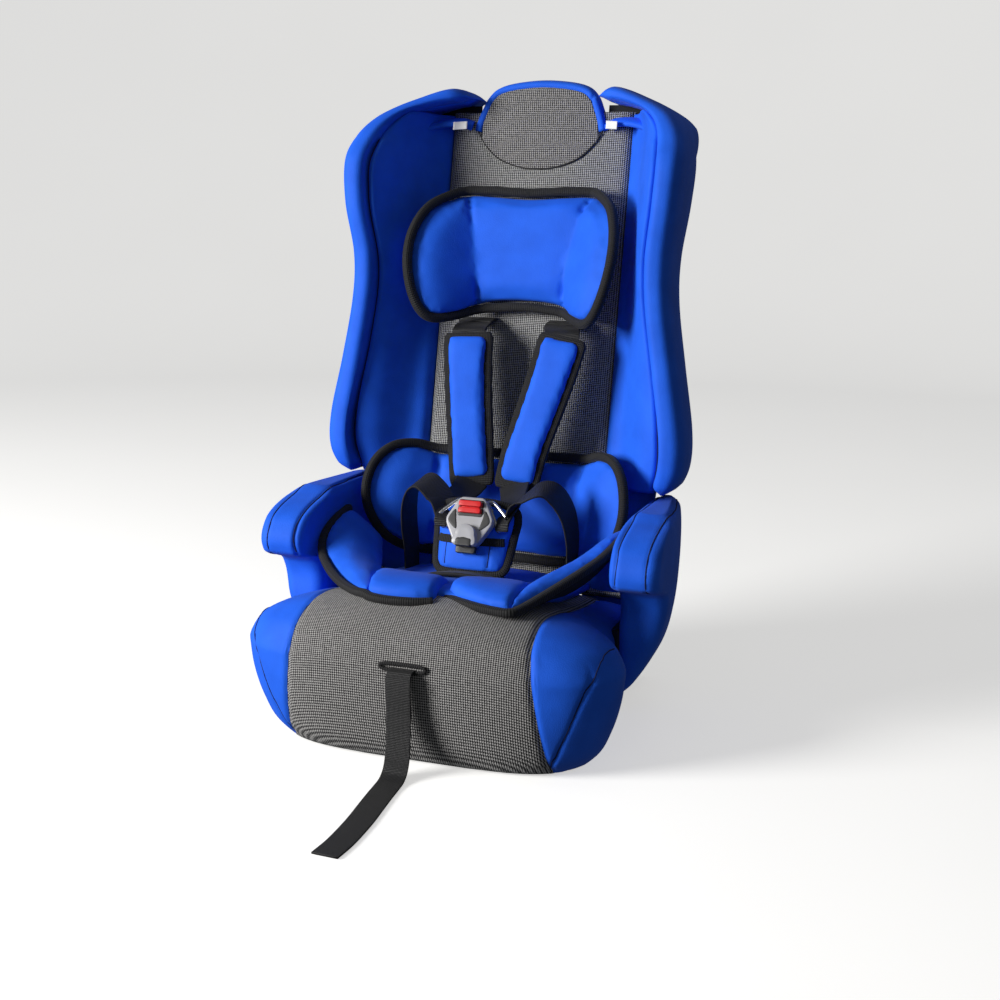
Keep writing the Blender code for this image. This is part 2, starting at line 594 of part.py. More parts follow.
def hook(x):
    """A hook that drops from the shell and wraps the rod, open towards the front."""
    outer, inner = 0.0125, ROD_R + 0.0005
    outer_arc = [radians(a) for a in range(-150, 61, 15)]
    inner_arc = [radians(a) for a in range(-150, 106, 15)]
    outline = [(HINGE_Y + outer * cos(a), HINGE_Z + outer * sin(a)) for a in outer_arc]
    outline += [(HINGE_Y + 0.012, 0.165), (back_y(0.165) + WALL_REAR + GAP, 0.165),
                (back_y(BACK_BOTTOM) + WALL_REAR + GAP, BACK_BOTTOM), (HINGE_Y - 0.0125, HINGE_Z + 0.013)]
    outline += [(HINGE_Y + inner * cos(a), HINGE_Z + inner * sin(a)) for a in reversed(inner_arc)]
    half = HOOK_WIDTH / 2
    return prism(outline, lambda a, b, c: Vector((c, a, b)), x - half, x + half)


def back_hooks():
    for s, name in ((-1, "left"), (1, "right")):
        node(f"back_hook_{name}", hook(s * HOOK_X), (BLACK, 0.55))


def back_covers():
    low, high = 0.135, 0.6085
    outline = ((-PANEL_HALF + 0.0005, low), (PANEL_HALF - 0.0005, low), (PANEL_HALF - 0.0005, high),
               (-PANEL_HALF + 0.0005, high))
    centre = node("back_cover_centre", prism(outline, on_back, 0.0, COVER), (MESH_GREY, 0.9))
    cut(centre, cutter("cover_back_slots", merge(*[
        slanted_box(s * SLOT_X, z, SLOT_WIDE - 0.002, SLOT_HIGH - 0.002, -0.005, 0.025)
        for s in (-1, 1) for z in HARNESS_SLOTS])))
    head = [(a, b + (0.0005 if b < 0.612 else 0.0)) for a, b in mirrored(HUMP)]
    node("head_cover", prism(head, on_back, -0.004, COVER), (MESH_GREY, 0.9))


def wing_covers():
    """Padded wings: each wraps the shell's side wall and runs back to the rear rim."""
    for s, name in ((-1, "left"), (1, "right")):
        rings = []
        for z in WING_STEPS:
            out, seam, front, rear = at(WING_OUTER, z), at(WING_SEAM, z), at(WING_FRONT, z), back_y(z)
            wall = out - WALL_INSET
            rim = rear + SHELL_DEPTH + 0.004
            ease = 0.006 if z in (WING_BOTTOM, WING_TOP) else 0.0
            ring = ((PANEL_HALF + 0.001, rear + COVER), (PANEL_HALF + 0.001, rear), (seam, front + ease),
                    (seam + 0.010, front - 0.009 + ease), (out - 0.009, front - 0.007 + ease),
                    (out, front + 0.012 + ease), (out - WING_MIDDLE_IN, (front + rim) / 2 + 0.010),
                    (out - WING_REAR_IN, rim), (wall + 0.0006, rim), (wall + 0.0006, front + 0.0150),
                    (wall - SHELL_WALL - 0.0006, front + 0.0150), (wall - SHELL_WALL - 0.0006, rear + COVER))
            rings.append([Vector((s * a, b, z)) for a, b in ring])
        node(f"wing_cover_{name}", loft(rings), (BLUE, 0.9))


def belt_guides():
    """The padded arm over each wing that holds the shoulder belt in the slit under it."""
    half = ((0.1760, 0.6070), (0.1720, 0.6180), (0.1590, 0.6310), (0.1250, 0.6450), (0.0960, 0.6550),
            (0.0810, 0.6540), (0.0750, 0.6460), (0.0790, 0.6390), (0.1000, 0.6390), (0.1280, 0.6350),
            (0.1330, 0.6300), (0.1280, 0.6260), (0.1000, 0.6270), (0.0860, 0.6260), (0.0820, 0.6200),
            (0.0860, 0.6100), (0.1060, 0.6090), (0.1070, 0.6070))

    def place(x, z, behind):
        drawn_in = 0.22 * (behind + 0.040) * min(max((abs(x) - 0.135) / 0.030, 0.0), 1.0)
        return on_back(x - drawn_in * (1 if x > 0 else -1), z, behind)

    for s, name in ((-1, "left"), (1, "right")):
        node(f"belt_guide_{name}", prism([(s * a, b) for a, b in half], place, -0.040, 0.030), (BLUE, 0.9))


def head_pillow():
    """Head cushion: a centre pad with a wing folded forward at each side."""
    rings = []
    for z in steps(0.418, 0.545, 5):
        grow = (z - 0.418) / 0.127
        inner, outer = 0.052 + 0.020 * grow, 0.108 + 0.014 * sin(pi * grow)
        rear = back_y(z) - 0.0015
        half = ((0.0, rear - 0.030), (inner, rear - 0.030), (outer - 0.010, rear - 0.078),
                (outer, rear - 0.070), (inner + 0.022, rear), (0.0, rear))
        right = [Vector((a, b, z)) for a, b in half]
        rings.append(right + [Vector((-p.x, p.y, p.z)) for p in reversed(right) if p.x > 1e-9])
    node("head_pillow", loft(rings), (BLUE, 0.9))


def back_insert():
    """The torso part of the insert: a thin pad on the back and a raised lobe at each side."""
    outline = ((-0.086, 0.170), (0.086, 0.170), (0.086, 0.262), (0.070, 0.268), (-0.070, 0.268),
               (-0.086, 0.262))
    node("insert_back_pad", prism(outline, on_back, -0.016, -0.0005), (BLUE, 0.9))
    for s, name in ((-1, "left"), (1, "right")):
        rings = []
        for z, reach in ((0.172, 0.0), (0.185, 0.010), (0.215, 0.014), (0.245, 0.010), (0.262, 0.0)):
            rear = back_y(z)
            ring = ((0.088, rear - 0.003), (0.108, rear - 0.006), (0.140 + reach * 0.5, rear - 0.042),
                    (0.136 + reach * 0.5, rear - 0.054), (0.120, rear - 0.050), (0.088, rear - 0.022))
            rings.append([Vector((s * a, b, z)) for a, b in ring])
        node(f"torso_lobe_{name}", loft(rings), (BLUE, 0.9))


def rear_harness():
    """Shoulder webbing from the yoke through its slots, and the webbing from the yoke down."""
    node("yoke_plate", prism(((-0.030, 0.285), (0.030, 0.285), (0.042, 0.325), (-0.042, 0.325)),
                             on_back, 0.0270, 0.0290), (STEEL, 0.3, 1.0))
    for s, name in ((-1, "left"), (1, "right")):
        route = ((s * 0.022, 0.327, 0.0250), (s * 0.036, 0.360, 0.0260), (s * 0.0475, 0.390, 0.0230),
                 (s * 0.0500, 0.4045, 0.0130), (s * 0.0500, 0.4055, 0.0), (s * 0.0515, 0.4035, -0.022))
        path = smooth_path([on_back(*p) for p in route], 4)
        node(f"shoulder_strap_{name}", ribbon(path, (1, 0, 0), WEBBING, WEBBING_THICK), (BLACK, 0.7))
    route = ((0.0, 0.283, 0.0280), (0.0, 0.240, 0.0280), (0.0, 0.190, 0.0270), (0.0, 0.150, 0.0290),
             (0.0, 0.118, 0.0430))
    path = smooth_path([on_back(*p) for p in route], 3)
    node("yoke_strap", ribbon(path, (1, 0, 0), PULL_WIDTH, WEBBING_THICK), (BLACK, 0.7))


def hinge_rod():
    rod = rod_along_x(HINGE_Y, HINGE_Z, ROD_R, -ROD_HALF, ROD_HALF, 20)
    node("hinge_rod", rod, (STEEL, 0.3, 1.0), smooth=True)


clear_scene()
base_shell()
armrest_frames()
seat_covers()
armrest_covers()
insert_pieces()
hinge_rod()
crotch_pieces()
lap_pieces()
shoulder_pads()
buckle_pieces()
tongues()
adjuster_pieces()
pull_straps()
back_shell()
back_ribs()
back_hooks()
back_covers()
wing_covers()
belt_guides()
head_pillow()
back_insert()
rear_harness()
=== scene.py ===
"""Looks of a harnessed child booster seat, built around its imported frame.

Metres, +Z up, as in the frame: the seat faces -Y and is symmetrical about x = 0, and pieces named
_left lie at -X. Padded pieces are outlines laid on curved sheets, blown up by a short cloth
simulation and then bound, seamed and stitched.
"""
from math import cos, pi, radians, sin

import bmesh
import bpy
import numpy as np
from mathutils import Matrix, Vector


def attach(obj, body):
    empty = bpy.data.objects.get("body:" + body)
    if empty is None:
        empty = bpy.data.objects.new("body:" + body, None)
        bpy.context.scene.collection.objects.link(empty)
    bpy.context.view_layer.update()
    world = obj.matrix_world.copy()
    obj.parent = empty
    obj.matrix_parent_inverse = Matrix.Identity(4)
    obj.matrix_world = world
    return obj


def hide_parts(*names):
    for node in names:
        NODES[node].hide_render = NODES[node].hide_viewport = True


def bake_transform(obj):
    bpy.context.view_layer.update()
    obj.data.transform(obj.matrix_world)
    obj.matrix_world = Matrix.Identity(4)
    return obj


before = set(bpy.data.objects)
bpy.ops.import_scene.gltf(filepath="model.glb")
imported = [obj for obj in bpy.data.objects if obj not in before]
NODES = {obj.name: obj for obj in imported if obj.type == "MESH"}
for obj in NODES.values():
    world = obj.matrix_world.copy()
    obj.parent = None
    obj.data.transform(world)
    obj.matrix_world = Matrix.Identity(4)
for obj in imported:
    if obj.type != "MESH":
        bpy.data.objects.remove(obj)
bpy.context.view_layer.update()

# ---- driving dimensions, as in the frame --------------------------------------------------
BACK_Y, BACK_Z, BACK_SLOPE = 0.100, 0.250, 0.19
PANEL_HALF = 0.105
SHELL_DEPTH = 0.038
WING_SEAM = ((0.232, 0.164), (0.270, 0.171), (0.300, 0.170), (0.340, 0.165), (0.380, 0.158),
             (0.460, 0.148), (0.540, 0.156), (0.575, 0.157), (0.606, 0.152))
WING_FRONT = ((0.232, 0.056), (0.262, 0.048), (0.380, 0.057), (0.460, 0.058), (0.540, 0.048),
              (0.575, 0.054), (0.606, 0.078))
WALL_INSET, WING_REAR_IN = 0.027, 0.017
SEAT_MIDDLE = -0.070
SEAT_CROWN, SIDE_TOP, SHOULDER_START = 0.011, 0.102, 0.50
MESH_HALF = 0.127
ARM_INNER, ARM_OUTER = 0.1625, 0.212
BUCKLE = np.array((0.0, -0.028, 0.207))
BUCKLE_LEAN = radians(25)

WEBBING = 0.038
PULL_WIDTH, PULL_THICK = 0.025, 0.0018
PULL_ROUTE = ((0.0, -0.2075, 0.1020), (0.0, -0.2150, 0.1012), (0.0, -0.2185, 0.0950),
              (0.0, -0.2185, 0.0800), (0.0, -0.2175, 0.0600), (0.0, -0.2175, 0.0400),
              (0.0, -0.2190, 0.0220), (0.0, -0.2240, 0.0090), (0.001, -0.2350, 0.0030),
              (0.002, -0.2500, 0.0015), (0.004, -0.2700, 0.0014), (0.007, -0.2950, 0.0014),
              (0.010, -0.3200, 0.0014), (0.012, -0.3450, 0.0014), (0.013, -0.3700, 0.0014),
              (0.012, -0.3950, 0.0014))
SIDES = ((-1, "left"), (1, "right"))


# ---- numbers and curves --------------------------------------------------------------------
def through(rows, z):
    """Read a table of (height, value) as a smooth curve."""
    heights, values = np.array(rows, float).T
    slopes = np.gradient(values, heights)
    z = np.clip(np.asarray(z, float), heights[0], heights[-1])
    i = np.clip(np.searchsorted(heights, z, side="right") - 1, 0, len(heights) - 2)
    span = heights[i + 1] - heights[i]
    t = (z - heights[i]) / span
    near = (2 * t ** 3 - 3 * t ** 2 + 1) * values[i] + (t ** 3 - 2 * t ** 2 + t) * span * slopes[i]
    far = (3 * t ** 2 - 2 * t ** 3) * values[i + 1] + (t ** 3 - t ** 2) * span * slopes[i + 1]
    return near + far


def spline(points, count, closed=False):
    """Evenly spaced points along a smooth curve through the given points."""
    p = np.array(points, float)
    p = np.vstack([p[-1:], p, p[:2]]) if closed else np.vstack([2 * p[0] - p[1], p, 2 * p[-1] - p[-2]])
    t = np.linspace(0, 1, 24, endpoint=False)[:, None]
    spans = [0.5 * (2 * b + (c - a) * t + (2 * a - 5 * b + 4 * c - d) * t ** 2
                    + (3 * b - a - 3 * c + d) * t ** 3) for a, b, c, d in zip(p, p[1:], p[2:], p[3:])]
    fine = np.vstack(spans + [p[-2][None]])
    gone = np.r_[0, np.cumsum(np.linalg.norm(np.diff(fine, axis=0), axis=1))]
    want = np.linspace(0, gone[-1], count + 1)[:-1] if closed else np.linspace(0, gone[-1], count)
    return np.column_stack([np.interp(want, gone, column) for column in fine.T])


def mirrored(half):
    """Close an outline from its right half, listed from one end of the x = 0 line to the other."""
    half = [tuple(p) for p in half]
    return half + [(-a, b) for a, b in reversed(half) if abs(a) > 1e-9]


def across_middle(half):
    """A curve that crosses x = 0, from the half of it that ends there."""
    return half + tuple((-a, b) for a, b in half[-2::-1])


def unit(vectors):
    vectors = np.asarray(vectors, float)
    return vectors / np.maximum(np.linalg.norm(vectors, axis=-1, keepdims=True), 1e-12)


def back_y(z):
    return BACK_Y + BACK_SLOPE * (z - BACK_Z)


def on_back(x, z, behind):
    """Points a stated distance in y behind the front plane of the back."""
    x, z, behind = np.broadcast_arrays(x, z, behind)
    return np.stack([x, back_y(z) + behind, z], -1)


def on_buckle(x, up, out):
    """Points in the buckle's own frame: up along the webbing, out towards the front."""
    x, up, out = np.broadcast_arrays(np.asarray(x, float), up, out)
    lean, rise = sin(BUCKLE_LEAN), cos(BUCKLE_LEAN)
    return BUCKLE + np.stack([x, up * lean - out * rise, up * rise + out * lean], -1)


def flip(points, side):
    """Mirror points made for the right side when side is -1."""
    return np.asarray(points, float) * (side, 1, 1)


# ---- meshes --------------------------------------------------------------------------------
def mesh_object(name, points, faces, smooth=True):
    mesh = bpy.data.meshes.new(name)
    mesh.from_pydata([tuple(map(float, p)) for p in points], [], faces)
    bm = bmesh.new()
    bm.from_mesh(mesh)
    bmesh.ops.recalc_face_normals(bm, faces=bm.faces)
    if bm.calc_volume(signed=True) < 0:
        bmesh.ops.reverse_faces(bm, faces=bm.faces)
    bm.to_mesh(mesh)
    bm.free()
    made = bpy.data.objects.new(name, mesh)
    bpy.context.collection.objects.link(made)
    if smooth:
        mesh.shade_smooth()
    return made


def grid_faces(rows, cols, wrap_rows=False, wrap_cols=False):
    r = np.arange(rows if wrap_rows else rows - 1)
    c = np.arange(cols if wrap_cols else cols - 1)
    r, c = np.meshgrid(r, c, indexing="ij")
    below, beside = (r + 1) % rows, (c + 1) % cols
    corners = (r * cols + c, r * cols + beside, below * cols + beside, below * cols + c)
    return np.stack(corners, -1).reshape(-1, 4).tolist()


def lofted(name, rings, closed=False, smooth=True):
    """A closed body through rings of equal size; its ends are fans, or it joins up with itself."""
    rings = np.asarray(rings, float)
    count, around = rings.shape[:2]
    points = rings.reshape(-1, 3)
    faces = grid_faces(count, around, closed, True)
    if not closed:
        points = np.vstack([points, rings[0].mean(0), rings[-1].mean(0)])
        for tip, row in ((len(points) - 2, 0), (len(points) - 1, count - 1)):
            start = row * around
            faces += [(tip, start + i, start + (i + 1) % around) for i in range(around)]
    return mesh_object(name, points, faces, smooth)


def slab(name, front, back):
    """A closed sheet between two grids of the same size."""
    rows, cols = front.shape[:2]
    points = np.vstack([front.reshape(-1, 3), back.reshape(-1, 3)])
    half = rows * cols
    faces = grid_faces(rows, cols)
    faces += [tuple(half + i for i in reversed(face)) for face in faces]
    rim = list(range(cols)) + [r * cols + cols - 1 for r in range(1, rows)]
    rim += [(rows - 1) * cols + c for c in range(cols - 2, -1, -1)]
    rim += [r * cols for r in range(rows - 2, 0, -1)]
    faces += [(a, b, b + half, a + half) for a, b in zip(rim, rim[1:] + rim[:1])]
    return mesh_object(name, points, faces)


def pad(name, outline, place, crown, under=0.002, edge=0.0015, rings=14, power=2.4, centre=None):
    """A padded piece: an outline of (a, b) put in space by place(a, b, depth), crowned in front."""
    outline = np.asarray(outline, float)
    middle = outline.mean(0) if centre is None else np.array(centre, float)
    shares = np.sin(np.linspace(0, pi / 2, rings + 1))[1:]
    rows = []
    for face, height in ((1, crown), (-1, under)):
        flat = [middle + (outline - middle) * share for share in shares]
        lift = [face * (edge + height * (1 - share ** power) ** (1 / power)) for share in shares]
        made = [place(line[:, 0], line[:, 1], h) for line, h in zip(flat, lift)]
        rows += made if face == 1 else made[::-1]
    tips = [place(*middle, edge + crown), place(*middle, -edge - under)]
    count, around = len(rows), len(outline)
    points = np.vstack([np.array(rows).reshape(-1, 3), tips])
    faces = grid_faces(count, around, False, True)
    for tip, row in ((count * around, 0), (count * around + 1, count - 1)):
        faces += [(tip, row * around + i, row * around + (i + 1) % around) for i in range(around)]
    return mesh_object(name, points, faces)


def frames_along(line, side, closed=False):
    """Tangent, width direction and thickness direction at each point of a line."""
    line = np.asarray(line, float)
    ahead = np.roll(line, -1, 0) - np.roll(line, 1, 0) if closed else np.gradient(line, axis=0)
    ahead = unit(ahead)
    side = np.broadcast_to(np.asarray(side, float), line.shape)
    side = unit(side - ahead * (side * ahead).sum(-1, keepdims=True))
    return ahead, side, np.cross(ahead, side)


def sweep(name, line, side, width, height, closed=False, around=12, square=0.5):
    """A band of rounded section along a line, with UVs in metres along and across it."""
    line = np.asarray(line, float)
    _, side, up = frames_along(line, side, closed)
    turn = np.linspace(0, 2 * pi, around, endpoint=False)
    across = np.sign(np.cos(turn)) * np.abs(np.cos(turn)) ** square
    over = np.sign(np.sin(turn)) * np.abs(np.sin(turn)) ** square
    width = np.broadcast_to(width, len(line))[:, None, None]
    height = np.broadcast_to(height, len(line))[:, None, None]
    rings = line[:, None] + side[:, None] * across[None, :, None] * width / 2
    rings = rings + up[:, None] * over[None, :, None] * height / 2
    made = lofted(name, rings, closed)
    steps = np.linalg.norm(np.diff(line, axis=0), axis=1)
    gone = np.r_[0, np.cumsum(steps)]
    along = np.repeat(gone, around)
    sideways = (across[None] * width[:, :, 0] / 2).ravel()
    if not closed:
        along = np.r_[along, 0, gone[-1]]
        sideways = np.r_[sideways, 0, 0]
    layer = made.data.uv_layers.new(name="metres")
    index = np.zeros(len(made.data.loops), np.int32)
    made.data.loops.foreach_get("vertex_index", index)
    uv = np.column_stack([along[index], sideways[index]])
    layer.data.foreach_set("uv", uv.ravel())
    return made


def vertices(made):
    co = np.zeros(len(made.data.vertices) * 3)
    made.data.vertices.foreach_get("co", co)
    return co.reshape(-1, 3)


def vertex_normals(made):
    normals = np.zeros(len(made.data.vertices) * 3)
    made.data.vertices.foreach_get("normal", normals)
    return normals.reshape(-1, 3)


def set_vertices(made, co):
    made.data.vertices.foreach_set("co", np.asarray(co, np.float32).ravel())
    made.data.update()


def distance_to(points, line):
    """Distance from each point to a line of short segments."""
    best = np.full(len(points), 1e9)
    for a, b in zip(line, line[1:]):
        run = b - a
        t = np.clip(((points - a) @ run) / max(run @ run, 1e-12), 0, 1)
        best = np.minimum(best, np.linalg.norm(points - a - t[:, None] * run, axis=1))
    return best


def groove(made, line, width=0.003, depth=0.0015):
    """Press a seam into a surface along a line."""
    co = vertices(made)
    away = distance_to(co, np.asarray(line, float))
    set_vertices(made, co - vertex_normals(made) * (depth * np.exp(-(away / width) ** 2))[:, None])


def seam(made, line, body, name, width=0.0022, depth=0.0020, thread=0.0013):
    """A sewn seam: a pressed groove with a dark blue cord lying in it, painted shade for the crease."""
    groove(made, line, width, depth)
    made.data.update()
    spots = []
    for point in np.asarray(line, float):
        _, spot, normal, _ = made.closest_point_on_mesh(Vector(point))
        spots.append(spot + normal * 0.0001)
    path = spline(spots[::2], 2 * len(spots))
    cord = sweep(name, path, (0.31, 0.11, 0.95), thread, thread, square=1.0, around=8)
    if body is not None:
        dress(cord, "seam", body)
    return cord


def modified(made, kind, **settings):
    """Add a modifier and apply it."""
    step = made.modifiers.new(kind, kind)
    for key, value in settings.items():
        setattr(step, key, value)
    shaped = bpy.data.meshes.new_from_object(made.evaluated_get(bpy.context.evaluated_depsgraph_get()))
    made.modifiers.clear()
    old, made.data = made.data, shaped
    name = made.name
    bpy.data.meshes.remove(old)
    made.data.name = name
    made.data.shade_smooth()
    return made


# ---- materials -----------------------------------------------------------------------------
class Nodes:
    """A short way to write a material's nodes."""

    def __init__(self, name):
        self.material = bpy.data.materials.new(name)
        self.material.use_nodes = True
        self.tree = self.material.node_tree
        self.shader = self.tree.nodes["Principled BSDF"]

    def add(self, kind, inputs=None, **settings):
        made = self.tree.nodes.new(kind)
        for key, value in settings.items():
            setattr(made, key, value)
        for key, value in (inputs or {}).items():
            self.put(made.inputs[key], value)
        return made

    def put(self, socket, value):
        if isinstance(value, bpy.types.NodeSocket):
            self.tree.links.new(value, socket)
        else:
            socket.default_value = value

    def maths(self, operation, a, b=0.0):
        return self.add("ShaderNodeMath", {0: a, 1: b}, operation=operation).outputs[0]

    def ramp(self, value, stops):
        made = self.add("ShaderNodeValToRGB", {"Fac": value})
        for element, (place, colour) in zip(made.color_ramp.elements, (stops[0], stops[-1])):
            element.position, element.color = place, (*colour, 1.0)
        for place, colour in stops[1:-1]:
            made.color_ramp.elements.new(place).color = (*colour, 1.0)
        return made.outputs["Color"]

    def noise(self, vector, scale, detail=2.0):
        made = self.add("ShaderNodeTexNoise", {"Vector": vector, "Scale": scale, "Detail": detail})
        return made.outputs["Fac"]

    def bump(self, height, strength, distance, after=None):
        made = self.add("ShaderNodeBump", {"Height": height, "Strength": strength, "Distance": distance})
        if after is not None:
            self.put(made.inputs["Normal"], after)
        return made.outputs["Normal"]

    def place(self, kind="Object"):
        return self.add("ShaderNodeTexCoord").outputs[kind]

    def finish(self, **inputs):
        names = {"colour": "Base Color", "roughness": "Roughness", "metallic": "Metallic",
                 "normal": "Normal", "sheen": "Sheen Weight", "sheen_rough": "Sheen Roughness",
                 "coat": "Coat Weight", "specular": "Specular IOR Level"}
        for key, value in inputs.items():
            if isinstance(value, tuple):
                value = (*value, 1.0)
            self.put(self.shader.inputs[names[key]], value)
        return self.material


def blue_knit():
    """Royal blue brushed knit over foam: fine loops, and a little lighter where it is rubbed."""
    n = Nodes("blue_knit")
    spot = n.place()
    shade = n.ramp(n.noise(spot, 28.0, 3.0), ((0.30, BLUE_DARK), (0.72, BLUE_LIGHT)))
    loops = n.add("ShaderNodeTexVoronoi", {"Vector": spot, "Scale": 850.0}).outputs["Distance"]
    soft = n.bump(n.noise(spot, 45.0, 2.0), 0.10, 0.004)
    fine = n.bump(loops, 0.30, 0.0005, soft)
    return n.finish(colour=shade, roughness=0.70, normal=fine, sheen=0.04, sheen_rough=0.40,
                    specular=0.24)


def mesh_knit(name, light):
    """Sandwich mesh: light grey tufts in staggered rows on black."""
    n = Nodes(name)
    spot = n.add("ShaderNodeSeparateXYZ", {0: n.place()})
    u = spot.outputs[0]
    v = n.maths("ADD", spot.outputs[1], spot.outputs[2])
    diagonal_a = n.maths("SINE", n.maths("MULTIPLY", n.maths("ADD", u, v), MESH_PITCH))
    diagonal_b = n.maths("SINE", n.maths("MULTIPLY", n.maths("SUBTRACT", u, v), MESH_PITCH))
    tufts = n.maths("MULTIPLY", diagonal_a, diagonal_b)
    level = n.maths("MULTIPLY_ADD", tufts, 0.5)
    level.node.inputs[2].default_value = 0.5
    uneven = n.noise(n.place(), 400.0, 2.0)
    level = n.maths("ADD", level, n.maths("MULTIPLY", n.maths("SUBTRACT", uneven, 0.5), 0.35))
    colour = n.ramp(level, ((0.38, MESH_DARK), (0.66, light)))
    return n.finish(colour=colour, roughness=0.85, normal=n.bump(level, 0.7, 0.0012), sheen=0.1,
                    specular=0.25)


def ribbed(name, colour, pitch, rough, strength):
    """Woven tape with ribs across its length, laid out by the metre along its UVs."""
    n = Nodes(name)
    flat = n.add("ShaderNodeSeparateXYZ", {0: n.place("UV")})
    ribs = n.maths("SINE", n.maths("MULTIPLY", flat.outputs[0], 2 * pi / pitch))
    cords = n.maths("SINE", n.maths("MULTIPLY", flat.outputs[1], 2 * pi / (pitch * 0.8)))
    weave = n.maths("MULTIPLY", n.maths("ADD", ribs, n.maths("MULTIPLY", cords, 0.5)), 0.5)
    fuzz = n.noise(n.place(), 500.0, 2.0)
    shade = n.ramp(fuzz, ((0.3, tuple(c * 0.7 for c in colour)), (0.75, tuple(c * 1.5 for c in colour))))
    return n.finish(colour=shade, roughness=rough, normal=n.bump(weave, strength, 0.0005),
                    sheen=0.05, specular=0.28)


def plastic(name, colour, rough, grain=0.12, scale=1800.0):
    """Moulded plastic with a fine spark-eroded grain."""
    n = Nodes(name)
    spot = n.place()
    speck = n.noise(spot, scale, 2.0)
    wear = n.noise(spot, 35.0, 4.0)
    gloss = n.maths("MULTIPLY_ADD", wear, 0.16)
    gloss.node.inputs[2].default_value = rough - 0.08
    worn, rubbed = tuple(c * 0.88 for c in colour), tuple(min(1, c * 1.12) for c in colour)
    shade = n.ramp(wear, ((0.3, worn), (0.7, rubbed)))
    return n.finish(colour=shade, roughness=gloss, normal=n.bump(speck, grain, 0.0003))


def metal(name, colour, rough, scratch=0.08):
    """Plated steel with fine scratches along one way."""
    n = Nodes(name)
    spot = n.add("ShaderNodeMapping", {"Vector": n.place(), "Scale": (60.0, 900.0, 900.0)}).outputs[0]
    lines = n.noise(spot, 1.0, 3.0)
    gloss = n.maths("MULTIPLY_ADD", lines, 0.14)
    gloss.node.inputs[2].default_value = rough - 0.05
    return n.finish(colour=colour, metallic=1.0, roughness=gloss, normal=n.bump(lines, scratch, 0.0002))


BLUE_DARK, BLUE_LIGHT = (0.009, 0.104, 0.70), (0.013, 0.130, 0.84)
# One mesh fabric in two copies: the back copy's tufts are painted lighter than the seat copy's to make up
# for the shade on the back panel.
MESH_DARK, MESH_LIGHT, MESH_BACK_PAINTED_LIGHT = (0.008, 0.008, 0.009), (0.40, 0.39, 0.385), (0.48, 0.48, 0.47)
MESH_PITCH = 2 * pi / 0.0046
LOOKS = {
    "blue": blue_knit(),
    "mesh": mesh_knit("mesh_knit", MESH_LIGHT),
    # painted light: the back panel's copy of the mesh, its tufts lighter against the shade there
    "mesh_back_painted_light": mesh_knit("mesh_knit_back_painted_light", MESH_BACK_PAINTED_LIGHT),
    "binding": ribbed("binding_tape", (0.010, 0.010, 0.011), 0.0022, 0.70, 0.8),
    "webbing": ribbed("black_webbing", (0.009, 0.009, 0.010), 0.0016, 0.48, 0.6),
    "shell": plastic("moulded_shell", (0.012, 0.012, 0.013), 0.55),
    # painted shadow: a black sheet for the dark depth behind the belt slits and the shade under the thigh
    # pads
    "painted_shadow": plastic("black_painted_shadow", (0.008, 0.008, 0.009), 0.90, 0.3, 900.0),
    "grey": plastic("buckle_grey", (0.36, 0.36, 0.38), 0.36, 0.06),
    "dark": plastic("buckle_dark", (0.015, 0.015, 0.016), 0.40, 0.06),
    "red": plastic("button_red", (0.62, 0.012, 0.014), 0.34, 0.04),
    "steel": metal("plated_steel", (0.55, 0.55, 0.57), 0.32),
    "chrome": metal("bright_plating", (0.62, 0.62, 0.64), 0.20, 0.02),
    "label": plastic("white_label", (0.80, 0.79, 0.76), 0.75, 0.2, 700.0),
    # painted shade: the dark blue cord laid in the seams stands for the shadow in their creases
    "seam": plastic("seam_shadow", (0.002, 0.010, 0.075), 0.90, 0.1),
    "thread": plastic("black_thread", (0.015, 0.015, 0.016), 0.70, 0.1),
}


def dress(made, look, body=None, stands_for=()):
    """Give a piece its material, its body, and the CAD nodes it stands for."""
    made.data.materials.clear()
    made.data.materials.append(LOOKS[look])
    if body is not None:
        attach(made, body)
    if stands_for:
        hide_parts(*stands_for)
    return made


# ---- camera, lights, floor -----------------------------------------------------------------
VIEW_YAW, VIEW_PITCH, VIEW_ROLL = radians(19.3), radians(11.3), radians(1.1)
VIEW_TARGET, VIEW_DISTANCE, VIEW_LENS = Vector((0.020, 0.0, 0.227)), 1.465, 50.4
SWEEP_START, SWEEP_RADIUS = 3.2, 2.2
FLOOR_GLOW = 0.55
WORLD_LIGHT = 0.10
WINDOW_POWER, FILL_POWER, TOP_POWER = 116.0, 3.0, 2.0


def add_camera():
    back = Vector((sin(VIEW_YAW) * cos(VIEW_PITCH), -cos(VIEW_YAW) * cos(VIEW_PITCH), sin(VIEW_PITCH)))
    right = Vector((cos(VIEW_YAW), sin(VIEW_YAW), 0.0))
    up = back.cross(right)
    across = right * cos(VIEW_ROLL) + up * sin(VIEW_ROLL)
    along = up * cos(VIEW_ROLL) - right * sin(VIEW_ROLL)
    data = bpy.data.cameras.new("camera")
    data.lens, data.sensor_width = VIEW_LENS, 36.0
    camera = bpy.data.objects.new("camera", data)
    turn = Matrix((across, along, back)).transposed()
    camera.matrix_world = Matrix.Translation(VIEW_TARGET + back * VIEW_DISTANCE) @ turn.to_4x4()
    bpy.context.collection.objects.link(camera)
    bpy.context.scene.camera = camera


def add_light(name, place, aim, size, power, colour=(1, 1, 1)):
    data = bpy.data.lights.new(name, "AREA")
    data.shape, data.size, data.energy, data.color = "DISK", size, power, colour
    light = bpy.data.objects.new(name, data)
    light.location = place
    light.rotation_euler = (Vector(aim) - Vector(place)).to_track_quat("-Z", "Y").to_euler()
    bpy.context.collection.objects.link(light)


